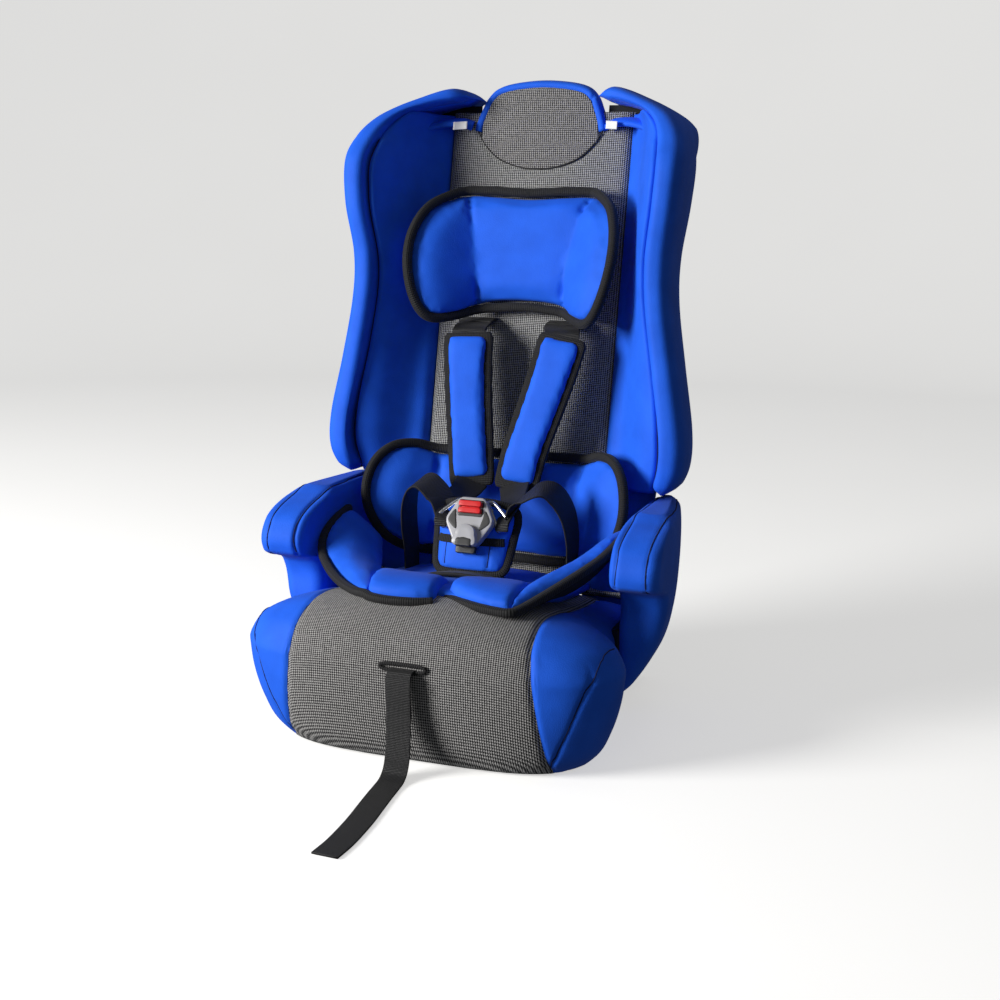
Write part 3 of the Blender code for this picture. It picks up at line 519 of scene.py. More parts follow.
def add_floor():
    """A pale round floor that curves up into a wall all round, and gives no light back to the seat."""
    curve = [(SWEEP_START + SWEEP_RADIUS * sin(a), SWEEP_RADIUS * (1 - cos(a)))
             for a in np.linspace(0, pi / 2, 32)]
    profile = [(0.01, 0.0), (2.0, 0.0)] + curve + [(SWEEP_START + SWEEP_RADIUS, 8.0)]
    grid = np.array([[(r * cos(t), r * sin(t), z) for r, z in profile]
                     for t in np.linspace(0, 2 * pi, 96, endpoint=False)])
    middle = np.array([[0.0, 0.0, 0.0]])
    faces = grid_faces(96, len(profile), wrap_rows=True)
    faces += [(96 * len(profile), t * len(profile), (t + 1) % 96 * len(profile)) for t in range(96)]
    floor = mesh_object("floor", np.vstack([grid.reshape(-1, 3), middle]), faces)
    n = Nodes("floor_paper")
    shade = n.ramp(n.noise(n.place(), 1.5, 3.0), ((0.3, (0.80, 0.80, 0.79)), (0.7, (0.84, 0.84, 0.83))))
    n.shader.inputs["Emission Color"].default_value = (1.0, 0.99, 0.975, 1.0)
    n.shader.inputs["Emission Strength"].default_value = FLOOR_GLOW
    floor.data.materials.append(n.finish(colour=shade, roughness=0.9))
    floor.visible_diffuse = False
    floor.visible_glossy = False


def set_stage():
    add_camera()
    add_floor()
    world = bpy.data.worlds.new("studio")
    bpy.context.scene.world = world
    world.use_nodes = True
    world.node_tree.nodes["Background"].inputs["Color"].default_value = (0.90, 0.95, 1.0, 1.0)
    world.node_tree.nodes["Background"].inputs["Strength"].default_value = WORLD_LIGHT
    bpy.context.scene.view_settings.view_transform = "Standard"
    add_light("window", (-1.98, -1.92, 1.00), (0, 0, 0.33), 1.2, WINDOW_POWER, (1.0, 0.99, 0.97))
    add_light("front_fill", (0.9, -2.6, 1.4), (0, 0, 0.3), 2.0, FILL_POWER)
    add_light("top", (0.2, 0.3, 2.4), (0, 0, 0.4), 1.6, TOP_POWER)


# ---- adjuster strap (the free cord) --------------------------------------------------------
WELT_Y = -0.2088
WELT_CORNERS = ((-0.018, 0.1010), (0.018, 0.1010), (0.019, 0.1065), (-0.019, 0.1065))


def add_slot_welt():
    """The stitched edge of the slot that the strap comes out of."""
    welt = spline([(x, WELT_Y, z) for x, z in WELT_CORNERS], 80, closed=True)
    edge = sweep("slot_welt", welt, (0, 1, 0), 0.0028, 0.0034, closed=True, square=0.7)
    dress(edge, "binding", "base")


def add_pull_strap():
    line = spline(PULL_ROUTE, 120)
    strap = sweep("adjuster_strap", line, (1, 0, 0), PULL_WIDTH, PULL_THICK, square=0.18, around=20)
    dress(strap, "webbing", "base", ["adjuster_strap"])


# ---- seat cover and armrests ---------------------------------------------------------------
SEAT_PLAN = ((0.0, -0.207), (0.070, -0.2065), (0.120, -0.202), (0.155, -0.191), (0.178, -0.174),
             (0.192, -0.152), (0.1945, -0.130), (0.185, -0.106), (0.170, -0.086), (0.161, -0.066),
             (0.160, 0.0), (0.160, 0.050), (0.150, 0.062), (0.0, 0.062))
SEAT_SIDE = ((0.003, 0.81), (0.015, 0.87), (0.040, 0.935), (0.070, 0.98), (0.102, 1.0))
SEAT_MIDDLE_LINE = ((-0.207, 0.154), (-0.150, 0.159), (-0.100, 0.153), (0.0, 0.138), (0.062, 0.132))
CORNER_SEAM = ((0.188, -0.128, 0.130), (0.186, -0.146, 0.132), (0.183, -0.164, 0.122),
               (0.175, -0.177, 0.103), (0.164, -0.182, 0.080), (0.152, -0.181, 0.051),
               (0.143, -0.178, 0.028), (0.134, -0.172, 0.006))


def seat_top(x, y):
    """Height of the padded seat surface."""
    x, y = np.asarray(x, float), np.asarray(y, float)
    return through(SEAT_MIDDLE_LINE, y) - SEAT_CROWN * (np.abs(x) / MESH_HALF) ** 2


def seat_rings(shrink, drop, rows_side, rows_top, around=320):
    """Rings of the seat block from its bottom edge up and in to the middle of its top."""
    half = [(x, y - SEAT_MIDDLE) for x, y in SEAT_PLAN]
    plan = spline(mirrored(half), around, closed=True)
    rings = []
    for z in np.linspace(SEAT_SIDE[0][0], SIDE_TOP - drop, rows_side, endpoint=False):
        scale = through(SEAT_SIDE, z) * shrink
        rings.append(np.column_stack([plan[:, 0] * scale, SEAT_MIDDLE + plan[:, 1] * scale,
                                      np.full(around, z)]))
    for share in np.linspace(0, 1, rows_top) ** 0.8:
        scale = 1.0 - 0.97 * share
        out = max(scale - SHOULDER_START, 0.0) / (1.0 - SHOULDER_START)
        rise = (1.0 - out ** 2.4) ** (1 / 2.4)
        x, y = plan[:, 0] * scale * shrink, SEAT_MIDDLE + plan[:, 1] * scale * shrink
        edge = SIDE_TOP - drop
        rings.append(np.column_stack([x, y, edge + (seat_top(x, y) - drop - edge) * rise]))
    return rings


def cut_away(made, point, normal):
    """Cut a closed body by a plane, drop what lies along the normal, and close the cut."""
    bm = bmesh.new()
    bm.from_mesh(made.data)
    whole = list(bm.verts) + list(bm.edges) + list(bm.faces)
    cut = bmesh.ops.bisect_plane(bm, geom=whole, plane_co=point, plane_no=normal, clear_outer=True)
    edges = [e for e in cut["geom_cut"] if isinstance(e, bmesh.types.BMEdge)]
    bmesh.ops.triangle_fill(bm, use_beauty=True, edges=edges)
    bmesh.ops.recalc_face_normals(bm, faces=bm.faces)
    bm.to_mesh(made.data)
    bm.free()
    return made


def add_loops(made, point, normal, offsets):
    """Extra edge loops beside a plane, so that a seam can be pressed in there."""
    bm = bmesh.new()
    bm.from_mesh(made.data)
    for offset in offsets:
        whole = list(bm.verts) + list(bm.edges) + list(bm.faces)
        spot = Vector(point) + Vector(normal).normalized() * offset
        bmesh.ops.bisect_plane(bm, geom=whole, plane_co=spot, plane_no=normal)
    bm.to_mesh(made.data)
    bm.free()


SEAM_TILT = 0.13                # the mesh panel widens by this share of the drop in height
SEAM_HEIGHT = 0.07              # where the panel is MESH_HALF wide


def seat_cover():
    outer = seat_rings(1.0, 0.0, 22, 44)
    inner = seat_rings(0.966, 0.0068, 10, 22)
    whole = lofted("seat_cover_whole", outer[::-1] + inner)
    seams = {s: ((s * MESH_HALF, 0.0, SEAM_HEIGHT), (s, 0.0, SEAM_TILT)) for s, _ in SIDES}
    for point, normal in seams.values():
        add_loops(whole, point, normal, (-0.0060, -0.0035, -0.0018, 0.0, 0.0018, 0.0035, 0.0060))
    co, normals = vertices(whole), vertex_normals(whole)
    for point, normal in seams.values():
        away = (co - point) @ np.array(normal) / np.linalg.norm(normal)
        outside = normals[:, 2] + 2 * np.linalg.norm(normals[:, :2], axis=1) > 0
        co = co - normals * (0.0022 * np.exp(-(away / 0.0028) ** 2) * outside)[:, None]
    set_vertices(whole, co)
    pieces = {"centre": whole}
    for s, name in SIDES:
        pieces[name] = whole.copy()
        pieces[name].data = whole.data.copy()
        bpy.context.collection.objects.link(pieces[name])
    for s, name in SIDES:
        point, normal = seams[s]
        cut_away(pieces["centre"], point, normal)
        cut_away(pieces[name], point, tuple(-c for c in normal))
    for s, name in SIDES:
        made = pieces[name]
        made.name = f"seat_side_{name}"
        modified(made, "SUBSURF", levels=1, render_levels=1)
        seam(made, flip(spline(CORNER_SEAM, 60), s), "base", f"seat_corner_seam_{name}", 0.0024, 0.0026)
        dress(made, "blue", "base", [f"seat_cover_{name}"])
    pieces["centre"].name = "seat_mesh_panel"
    dress(pieces["centre"], "mesh", "base", ["seat_cover_centre"])


ARM_FRONT = ((0.020, -0.033), (0.050, -0.041), (0.110, -0.050), (0.148, -0.0505), (0.155, -0.055),
             (0.1605, -0.066), (0.164, -0.080), (0.168, -0.090), (0.176, -0.0965), (0.186, -0.098),
             (0.198, -0.093), (0.209, -0.082), (0.217, -0.062), (0.2235, -0.035), (0.229, -0.022))
ARM_SIDE = ((0.046, 0.1660), (0.054, 0.175), (0.064, 0.182), (0.080, 0.191), (0.096, 0.199),
            (0.130, 0.208), (0.165, ARM_OUTER), (0.205, ARM_OUTER), (0.2295, 0.2085))
SIDE_REAR_IN = ((0.044, 0.002), (0.130, 0.021), (0.2295, 0.019))


def rounded_ring(x0, x1, y0, y1, radius, z, per_corner=9, per_side=8):
    """A horizontal rectangle with rounded corners."""
    ring = []
    corners = ((x1, y1, 0), (x0, y1, 90), (x0, y0, 180), (x1, y0, 270))
    for i, (cx, cy, start) in enumerate(corners):
        mx, my = cx - np.sign(cx - x0 - 1e-6) * radius, cy - np.sign(cy - y0 - 1e-6) * radius
        for a in np.linspace(radians(start), radians(start + 90), per_corner):
            ring.append((mx + radius * cos(a), my + radius * sin(a), z))
        nx, ny, _ = corners[(i + 1) % 4]
        gx, gy = (nx - cx, ny - cy)
        ends = np.array(ring[-1][:2]), np.array(ring[-1][:2])
        reach = np.hypot(gx, gy) - 2 * radius
        way = np.array((gx, gy)) / np.hypot(gx, gy)
        for k in range(1, per_side):
            ring.append((*(ends[0] + way * reach * k / per_side), z))
    return ring


ARM_TOP, ARM_ROUND = 0.2295, 0.012
ARM_INNER_SEAM = ((0.095, 0.2285), (0.045, 0.2290), (0.000, 0.2270), (-0.035, 0.2215), (-0.064, 0.2150),
                  (-0.083, 0.2065), (-0.094, 0.195), (-0.0965, 0.182), (-0.090, 0.170))
ARM_OUTER_SEAM = ((0.098, 0.2270), (0.040, 0.2280), (-0.005, 0.2255), (-0.040, 0.2195), (-0.068, 0.2120),
                  (-0.087, 0.2020), (-0.095, 0.186), (-0.089, 0.1700), (-0.070, 0.1625))


def armrest_ring(z):
    """A level section of the padded side wall: its outer side draws in towards the rear."""
    ease = 0.0
    if z > ARM_TOP - ARM_ROUND:
        ease = ARM_ROUND * (1 - np.sqrt(max(0.0, 1 - ((z - (ARM_TOP - ARM_ROUND)) / ARM_ROUND) ** 2)))
    x0, x1 = ARM_INNER + 0.0004 + ease, float(through(ARM_SIDE, z)) - ease
    y0, y1 = float(through(ARM_FRONT, z)) + ease * 0.5, 0.102 - ease
    ring = np.array(rounded_ring(x0, x1, y0, y1, min(0.013, 0.45 * (x1 - x0)), z))
    back = np.clip((ring[:, 1] + 0.02) / 0.12, 0, 1) ** 1.3
    outward = np.clip((ring[:, 0] - x0) / max(x1 - x0, 1e-6), 0, 1)
    room = 0.6 * (x1 - x0)
    ring[:, 0] -= min(float(through(SIDE_REAR_IN, z)), room) * back * outward
    ring[:, 0] += 0.0020 * sin(pi * np.clip((z - 0.05) / 0.17, 0, 1)) * outward * np.cos(ring[:, 1] * 12)
    return ring


def armrests():
    heights = np.r_[np.linspace(0.046, 0.150, 26), np.linspace(0.1525, 0.172, 12),
                    np.linspace(0.175, 0.215, 14),
                    ARM_TOP - ARM_ROUND * (1 - np.sin(np.linspace(0.1, pi / 2, 10)))]
    for s, name in SIDES:
        rings = [flip(armrest_ring(z), s) for z in heights]
        made = lofted(f"armrest_fabric_{name}", rings)
        modified(made, "SUBSURF", levels=1, render_levels=1)
        for x, course, where in ((0.1705, ARM_INNER_SEAM, "inner"), (0.2010, ARM_OUTER_SEAM, "outer")):
            line = spline([(x - (0.012 if y > 0.06 and x > 0.19 else 0.0), y, z) for y, z in course], 60)
            seam(made, flip(line, s), "base", f"armrest_seam_{where}_{name}")
        dress(made, "blue", "base", [f"armrest_cover_{name}"])


# ---- back ----------------------------------------------------------------------------------
HUMP_EDGE = ((-0.0770, 0.612), (-0.0740, 0.624), (-0.0690, 0.637), (-0.0630, 0.649), (-0.0520, 0.6590),
             (-0.0320, 0.6645), (0.0, 0.6670))
SMILE = ((0.0735, 0.614), (0.0640, 0.5985), (0.0480, 0.5830), (0.0250, 0.5735), (0.0, 0.5705))
PIPING = 0.0095                 # width of the blue band round the head hump


def back_panel():
    cols, rows = 43, 110
    x = np.linspace(-PANEL_HALF - 0.003, PANEL_HALF + 0.003, cols)
    z = np.linspace(0.150, 0.632, rows)
    x, z = np.meshgrid(x, z)
    across = np.abs(x) / (PANEL_HALF + 0.003)
    tuck = 0.010 * np.clip((across - 0.90) / 0.10, 0, 1) ** 2
    crown = 0.0035 * (1 - across ** 2)
    front = on_back(x, z, tuck - crown + 0.0015)
    made = slab("back_mesh_panel", front, on_back(x, z, tuck * 0.2 + 0.0085))
    smile = across_middle(SMILE)
    groove(made, on_back(*spline(smile, 80).T, -0.0020), 0.0028, 0.0016)
    # The back mesh takes the copy with painted light: tufts lighter against the shade on the back.
    dress(made, "mesh_back_painted_light", "backrest", ["back_cover_centre"])
    edge = spline(across_middle(HUMP_EDGE), 120)
    ahead = unit(np.gradient(edge, axis=0))
    inward = np.column_stack([ahead[:, 1], -ahead[:, 0]])
    top = edge + inward * (PIPING - 0.0012)
    lower = spline(smile, 90)
    outline = spline(np.vstack([top[4:-4:4], lower[6:-6:5]]), 170, closed=True)

    def place(a, b, depth):
        rise = 0.0035 * np.clip((np.asarray(b) - 0.590) / 0.05, 0, 1)
        return on_back(a, b, -0.0012 - rise - depth)

    hump = pad("head_mesh_panel", outline, place, 0.0012, 0.004, edge=0.0008, power=2.2,
               centre=(0.0, 0.622))
    curve = on_back(lower[:, 0], lower[:, 1], -0.0022)
    stitch = sweep("head_panel_stitch", curve, (0, 1, 0.19), 0.0016, 0.0016, square=1.0, around=8)
    dress(stitch, "thread", "backrest")
    dress(hump, "mesh", "backrest", ["head_cover"])
    middle = edge + inward * PIPING / 2
    line = on_back(middle[:, 0], middle[:, 1], 0.0030)
    band = sweep("head_piping", line, np.array((0, 1, 0.19)), 0.0185, PIPING, square=0.75, around=20)
    for s in (-1, 1):
        corner = on_back(np.array((s * 0.062, s * 0.055)), np.array((0.6535, 0.6400)), -0.0062)
        groove(band, corner, 0.0016, 0.0020)
    dress(band, "blue", "backrest")


BAND_OUTER = ((0.190, 0.2345), (0.202, 0.262), (0.202, 0.300), (0.190, 0.365), (0.179, 0.430),
              (0.1775, 0.477), (0.184, 0.530), (0.1865, 0.575), (0.181, 0.602), (0.168, 0.621),
              (0.149, 0.634), (0.125, 0.645), (0.100, 0.6545), (0.084, 0.6560), (0.0735, 0.6510))
BAND_INNER = ((0.168, 0.2345), (0.171, 0.262), (0.170, 0.300), (0.161, 0.365), (0.151, 0.430),
              (0.149, 0.477), (0.1555, 0.530), (0.157, 0.575), (0.154, 0.600), (0.146, 0.6165),
              (0.134, 0.6275), (0.119, 0.6335), (0.098, 0.6390), (0.083, 0.6405), (0.0730, 0.6420))
BAND_FRONT = (0.056, 0.048, 0.0485, 0.055, 0.058, 0.0575, 0.050, 0.0545, 0.074, 0.092, 0.106, 0.118,
              0.129, 0.136, 0.142)


def wing_bands():
    """The padded outer band: up the wing, round its corner and in over the belt slit."""
    count = 150
    keys = np.column_stack([BAND_OUTER, BAND_INNER, BAND_FRONT])
    path = spline(keys, count)
    outer, inner, front = path[:, :2], path[:, 2:4], path[:, 4]
    share = np.linspace(0, 1, count)
    top = np.clip((path[:, 1] - 0.585) / 0.03, 0, 1)
    top = np.maximum(top, (share > 0.80))
    for s, name in SIDES:
        rings = []
        for k in range(count):
            z = (outer[k, 1] + inner[k, 1]) / 2
            rear = back_y(z) + SHELL_DEPTH + 0.004
            rear = rear + (back_y(z) + 0.030 - rear) * top[k]
            wide = np.linalg.norm(outer[k] - inner[k])
            flap = min(0.44 + 0.56 * top[k], 1.0)
            f = front[k]
            close = sin(pi / 2 * min(1.0, (k + 0.6) / 4))
            close = min(close, sin(pi / 2 * min(1.0, (count - k - 0.4) / 7)))
            section = [(0.05, f + 0.014), (0.00, f + 0.010), (0.025, f + 0.0025), (0.11, f - 0.0045),
                       (0.27, f - 0.0085), (0.50, f - 0.0090), (0.70, f - 0.0075), (0.86, f - 0.003),
                       (0.965, f + 0.005), (1.00, f + 0.017), (1.01, f + 0.035),
                       (1.01, (f + rear) / 2 + 0.015), (1.00, rear - 0.012),
                       (0.97, rear - 0.003), (0.90, rear)]
            section = spline(section, 44)
            hidden = [(1 - flap + 0.02, rear - 0.002), (1 - flap, rear - 0.008), (1 - flap, f + 0.030),
                      (1 - flap, f + 0.016), (0.06, f + 0.016)]
            section = np.vstack([section, hidden])
            a = 0.5 + (section[:, 0] - 0.5) * close
            middle = (f + rear) / 2
            y = middle + (section[:, 1] - middle) * (0.75 + 0.25 * close)
            drawn = WING_REAR_IN * np.clip((y - f - 0.030) / max(rear - f - 0.030, 1e-3), 0, 1) ** 1.5
            drawn = drawn * (1 - 0.85 * top[k]) / wide
            a = np.maximum(a - drawn, 1 - (WALL_INSET - 0.001) / wide if top[k] < 0.5 else -1.0)
            xz = inner[k] + (outer[k] - inner[k]) * a[:, None]
            rings.append(flip(np.column_stack([xz[:, 0], y, xz[:, 1]]), s))
        made = lofted(f"wing_band_{name}", rings)
        dress(made, "blue", "backrest", [f"wing_cover_{name}", f"belt_guide_{name}"])


def wing_faces():
    """The inner face of each wing, from the mesh panel out to the band's seam."""
    heights = np.linspace(0.2345, 0.629, 110)
    for s, name in SIDES:
        grid = []
        for z in heights:
            if z < 0.600:
                x1, f = float(through(WING_SEAM, z)), float(through(WING_FRONT, z))
            else:
                t = (z - 0.600) / 0.029
                x1 = 0.154 - 0.020 * t ** 1.6
                f = 0.074 + 0.028 * t
            rear = float(back_y(z))
            keys = [(PANEL_HALF - 0.001, rear + 0.006), (PANEL_HALF + 0.0005, rear + 0.0015),
                    (PANEL_HALF + 0.006, rear - 0.006),
                    (PANEL_HALF + 0.30 * (x1 - PANEL_HALF) + 0.002, rear - 0.25 * (rear - f)),
                    (PANEL_HALF + 0.70 * (x1 - PANEL_HALF) - 0.001, rear - 0.68 * (rear - f)),
                    (x1 - 0.0045, f + 0.0090), (x1 - 0.0005, f + 0.0085), (x1 + 0.004, f + 0.013)]
            row = spline(keys, 40)
            grid.append(np.column_stack([row[:, 0], row[:, 1], np.full(40, z)]))
        grid = np.array(grid)
        across = unit(np.gradient(grid, axis=1))
        along = unit(np.gradient(grid, axis=0))
        normal = unit(np.cross(across, along))
        under = grid - normal * 0.006 * np.sign(normal[:, 20:21, 1:2].mean()) * -1
        made = slab(f"wing_face_{name}", flip(grid, s), flip(under, s))
        dress(made, "blue", "backrest")
        # painted shade: a dark blue cord along the seam with the band, for the shadow in its crease
        path = grid[2:-2:3, 38] - (0.0006, 0.0004, 0.0)
        line = flip(spline(path, 160), s)
        cord = sweep(f"wing_seam_{name}", line, (0.3, 1, 0.1), 0.0020, 0.0020, square=1.0, around=8)
        dress(cord, "seam", "backrest")


FLANGE_LINE = ((0.0785, 0.6175), (0.0900, 0.6205), (0.1080, 0.6200), (0.1260, 0.6150), (0.1420, 0.6060))


def belt_slits():
    """Behind each belt slit: a black sheet, painted shadow for the slit's dark depth, and the blue flange
    that the belt slides over.
    """
    for s, name in SIDES:
        a, b = np.meshgrid(np.linspace(0.0745, 0.134, 16), np.linspace(0.598, 0.640, 12))
        front = flip(on_back(a, b, 0.008), s)
        # painted shadow: the black sheet behind the slit stands for the shade in its depth
        painted_shadow = slab(f"slit_painted_shadow_{name}", front, front + (0, 0.003, 0))
        dress(painted_shadow, "painted_shadow", "backrest")
        line = spline(FLANGE_LINE, 60)
        path = flip(on_back(line[:, 0], line[:, 1], -0.004 - 0.020 * np.linspace(0, 1, 60)), s)
        flange = sweep(f"slit_flange_{name}", path, (0, 1.0, 0.35), 0.020, 0.0080, square=0.8, around=16)
        dress(flange, "blue", "backrest")


def lower_back():
    """The cover over the back below the wings, between the mesh and the side walls."""
    for s, name in SIDES:
        a, b = np.meshgrid(np.linspace(0.090, 0.1616, 24), np.linspace(0.094, 0.240, 36))
        puff = 0.006 * np.sin(pi * (a - 0.090) / 0.0716)
        front = flip(on_back(a, b, 0.004 - puff), s)
        made = slab(f"lower_back_{name}", front, flip(on_back(a, b, 0.010), s))
        dress(made, "blue", "backrest")


BRIDGE_PATH = ((0.050, 0.1270), (0.060, 0.1215), (0.070, 0.1190), (0.079, 0.1240), (0.083, 0.1380),
               (0.0855, 0.1520))
BRIDGE_HALF, BRIDGE_THICK = 0.1600, 0.0030


def cover_bridge():
    """The slack strip of cover that joins the seat to the back: one fixed piece, on neither body, that does
    not open out as the back reclines.
    """
    path = spline(BRIDGE_PATH, 40)
    x = np.linspace(-BRIDGE_HALF, BRIDGE_HALF, 80)
    top = np.array([[(a, y, z) for a in x] for y, z in path])
    ahead = unit(np.gradient(path, axis=0))
    under = np.column_stack([ahead[:, 1], -ahead[:, 0]]) * BRIDGE_THICK
    low = top + np.column_stack([np.zeros(len(path)), under])[:, None]
    made = slab("cover_bridge", top, low)
    # The bridge takes the mesh copy with painted light: tufts lighter against the shade there.
    dress(made, "mesh_back_painted_light")
    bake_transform(made)


# ---- cushions ------------------------------------------------------------------------------
def swell(made, cap, voxel=0.005, pressure=4.0, frames=20):
    """Blow a pad up like a filled cover: remesh it, run a short cloth simulation, cap the movement."""
    modified(made, "REMESH", mode="VOXEL", voxel_size=voxel)
    start = vertices(made)
    cloth = made.modifiers.new("Cloth", "CLOTH")
    cloth.settings.quality = 5
    cloth.settings.mass = 0.3
    cloth.settings.use_pressure = True
    cloth.settings.uniform_pressure_force = pressure
    cloth.settings.effector_weights.gravity = 0.0
    cloth.collision_settings.use_collision = False
    cloth.point_cache.frame_start, cloth.point_cache.frame_end = 1, frames
    scene = bpy.context.scene
    for number in range(1, frames + 1):
        scene.frame_set(number)
    blown = made.evaluated_get(bpy.context.evaluated_depsgraph_get())
    moved = np.zeros(len(blown.data.vertices) * 3)
    blown.data.vertices.foreach_get("co", moved)
    moved = moved.reshape(-1, 3) - start
    made.modifiers.clear()
    scene.frame_set(1)
    far = np.linalg.norm(moved, axis=1, keepdims=True)
    set_vertices(made, start + moved * np.tanh(far / cap) * cap / np.maximum(far, 1e-9))
    modified(made, "SUBSURF", levels=1, render_levels=1)
    return made


def black_underside(made, facing, limit=-0.25):
    """Give the faces that look away from a direction the black sheet material, as painted shade under the
    pad.
    """
    made.data.materials.append(LOOKS["painted_shadow"])
    facing = Vector(facing).normalized()
    for face in made.data.polygons:
        if face.normal.dot(facing) < limit:
            face.material_index = 1


def bound(name, outline, place, body, width=0.0090, height=0.0090, out=0.0015, count=220):
    """Black tape folded over a pad's rim."""
    line = spline(outline, count, closed=True)
    ahead = np.roll(line, -1, 0) - np.roll(line, 1, 0)
    inward = unit(np.column_stack([-ahead[:, 1], ahead[:, 0]]))
    if ((line.mean(0) - line) * inward).sum() < 0:
        inward = -inward
    centre = line - inward * out
    spots = place(centre[:, 0], centre[:, 1], 0.0015)
    inner = place(*(centre + inward * 0.002).T, 0.0015)
    tape = sweep(name, spots, inner - spots, width, height, closed=True, square=0.7)
    return dress(tape, "binding", body)


PILLOW = ((0.0, 0.5410), (0.040, 0.5430), (0.072, 0.5430), (0.095, 0.5380), (0.122, 0.5250),
          (0.138, 0.5020), (0.143, 0.4750), (0.138, 0.4460), (0.126, 0.4220), (0.110, 0.4110),
          (0.085, 0.4120), (0.050, 0.4190), (0.0, 0.4230))


def pillow_crease(z):
    """How far each of the pillow's creases is from its middle at a height."""
    return 0.0510 + 0.0225 * (z - 0.418) / 0.125


def pillow_place(a, b, depth):
    """The pillow's sheet: flat in the middle and folded forward at each side."""
    a, b, depth = np.broadcast_arrays(np.asarray(a, float), b, depth)
    past = np.abs(a) - pillow_crease(b)
    bend = (past + np.sqrt(past ** 2 + 0.007 ** 2)) / 2
    slope = (1 + past / np.sqrt(past ** 2 + 0.007 ** 2)) / 2
    x = np.sign(a) * (np.abs(a) - 0.36 * bend)
    y = back_y(b) - 0.016 - 0.74 * bend
    normal = unit(np.stack([-np.sign(a) * 0.74 * slope, -(1 - 0.36 * slope), 0.12 + 0 * a], -1))
    return np.stack([x, y, b], -1) + normal * depth[..., None]


def head_pillow():
    outline = spline(mirrored(PILLOW), 200, closed=True)
    made = pad("head_pillow_fabric", outline, pillow_place, 0.0100, 0.006, edge=0.002, rings=30, power=3.0,
               centre=(0.0, 0.48))
    swell(made, 0.0045)
    for s in (-1, 1):
        b = np.linspace(0.412, 0.549, 50)
        for depth in (0.006, 0.012):
            groove(made, pillow_place(s * pillow_crease(b), b, depth), 0.0032, 0.0044)
    dress(made, "blue", "backrest", ["head_pillow"])
    bound("head_pillow_binding", mirrored(PILLOW), pillow_place, "backrest", 0.0100, 0.0100, 0.0025)


TORSO = ((0.0, 0.151), (0.060, 0.150), (0.110, 0.154), (0.146, 0.170), (0.168, 0.196), (0.1755, 0.222),
         (0.168, 0.248), (0.148, 0.2635), (0.120, 0.2655), (0.090, 0.259), (0.050, 0.258), (0.0, 0.258))


def torso_place(a, b, depth):
    """The back insert's sheet: on the back in the middle, its lobes turned forward."""
    a, b, depth = np.broadcast_arrays(np.asarray(a, float), b, depth)
    past = np.abs(a) - 0.088
    bend = (past + np.sqrt(past ** 2 + 0.012 ** 2)) / 2
    slope = (1 + past / np.sqrt(past ** 2 + 0.012 ** 2)) / 2
    x = np.sign(a) * (np.abs(a) - 0.34 * bend)
    y = back_y(b) - 0.006 - 0.68 * bend
    normal = unit(np.stack([-np.sign(a) * 0.68 * slope, -(1 - 0.34 * slope), 0.15 + 0 * a], -1))
    return np.stack([x, y, b], -1) + normal * depth[..., None]


def torso_insert():
    outline = spline(mirrored(TORSO), 220, closed=True)
    made = pad("insert_back_fabric", outline, torso_place, 0.0095, 0.003, edge=0.002, rings=28, power=3.0,
               centre=(0.0, 0.208))
    swell(made, 0.004)
    for s in (-1, 1):
        b = np.linspace(0.145, 0.270, 40)
        groove(made, torso_place(s * (0.086 + 0 * b), b, 0.010), 0.0045, 0.0030)
    dress(made, "blue", "backrest", ["insert_back_pad", "torso_lobe_left", "torso_lobe_right"])
    bound("insert_back_binding", mirrored(TORSO), torso_place, "backrest", 0.0100, 0.0095, 0.0025)


def patch_pad(name, outer, inner, crown, under, up, skew=1.0, ends=3.0, rows=64, cols=28):
    """A crowned pad between two boundary curves."""
    outer, inner = spline(outer, rows), spline(inner, rows)
    v = np.linspace(0, 1, cols)
    t = np.linspace(-1, 1, rows)
    full = (1 - np.abs(t) ** ends) ** (1 / ends)
    across = (1 - np.abs(2 * v ** skew - 1) ** 2.3) ** (1 / 2.3)
    rise = (full[:, None] * across[None, :])[..., None]
    sheet = outer[:, None] + (inner - outer)[:, None] * v[None, :, None]
    up = unit(np.array(up, float))
    edge = 0.0022
    return slab(name, sheet + up * (edge + crown * rise), sheet - up * (edge + under * rise))


LOBE_RIM = {
    "left": ((-0.1570, 0.0100, 0.2020), (-0.1575, -0.0200, 0.1960), (-0.1570, -0.0460, 0.1860),
             (-0.1520, -0.0660, 0.1720), (-0.1360, -0.0860, 0.1620), (-0.1150, -0.1100, 0.1570),
             (-0.0930, -0.1330, 0.1560), (-0.0720, -0.1530, 0.1570), (-0.0560, -0.1640, 0.1590)),
    "right": ((0.1570, 0.0100, 0.2080), (0.1560, -0.0200, 0.2040), (0.1530, -0.0460, 0.1980),
              (0.1460, -0.0660, 0.1900), (0.1350, -0.0900, 0.1820), (0.1210, -0.1140, 0.1730),
              (0.1080, -0.1360, 0.1650), (0.0970, -0.1560, 0.1590), (0.0900, -0.1690, 0.1570))}
LOBE_INNER = {
    "left": ((-0.1250, 0.0250, 0.1660), (-0.1080, -0.0120, 0.1500), (-0.0930, -0.0450, 0.1470),
             (-0.0800, -0.0700, 0.1480), (-0.0690, -0.1050, 0.1520), (-0.0560, -0.1580, 0.1580)),
    "right": ((0.1250, 0.0250, 0.1660), (0.1120, -0.0150, 0.1500), (0.1020, -0.0450, 0.1470),
              (0.0930, -0.0720, 0.1480), (0.0870, -0.1080, 0.1520), (0.0900, -0.1630, 0.1570))}
FRONT_EDGE = {
    "left": ((-0.0570, -0.1640, 0.1575), (-0.0380, -0.1690, 0.1570), (-0.0120, -0.1680, 0.1570),
             (0.0110, -0.1590, 0.1570)),
    "right": ((0.0900, -0.1690, 0.1570), (0.0640, -0.1630, 0.1570), (0.0400, -0.1520, 0.1570),
              (0.0170, -0.1390, 0.1570))}
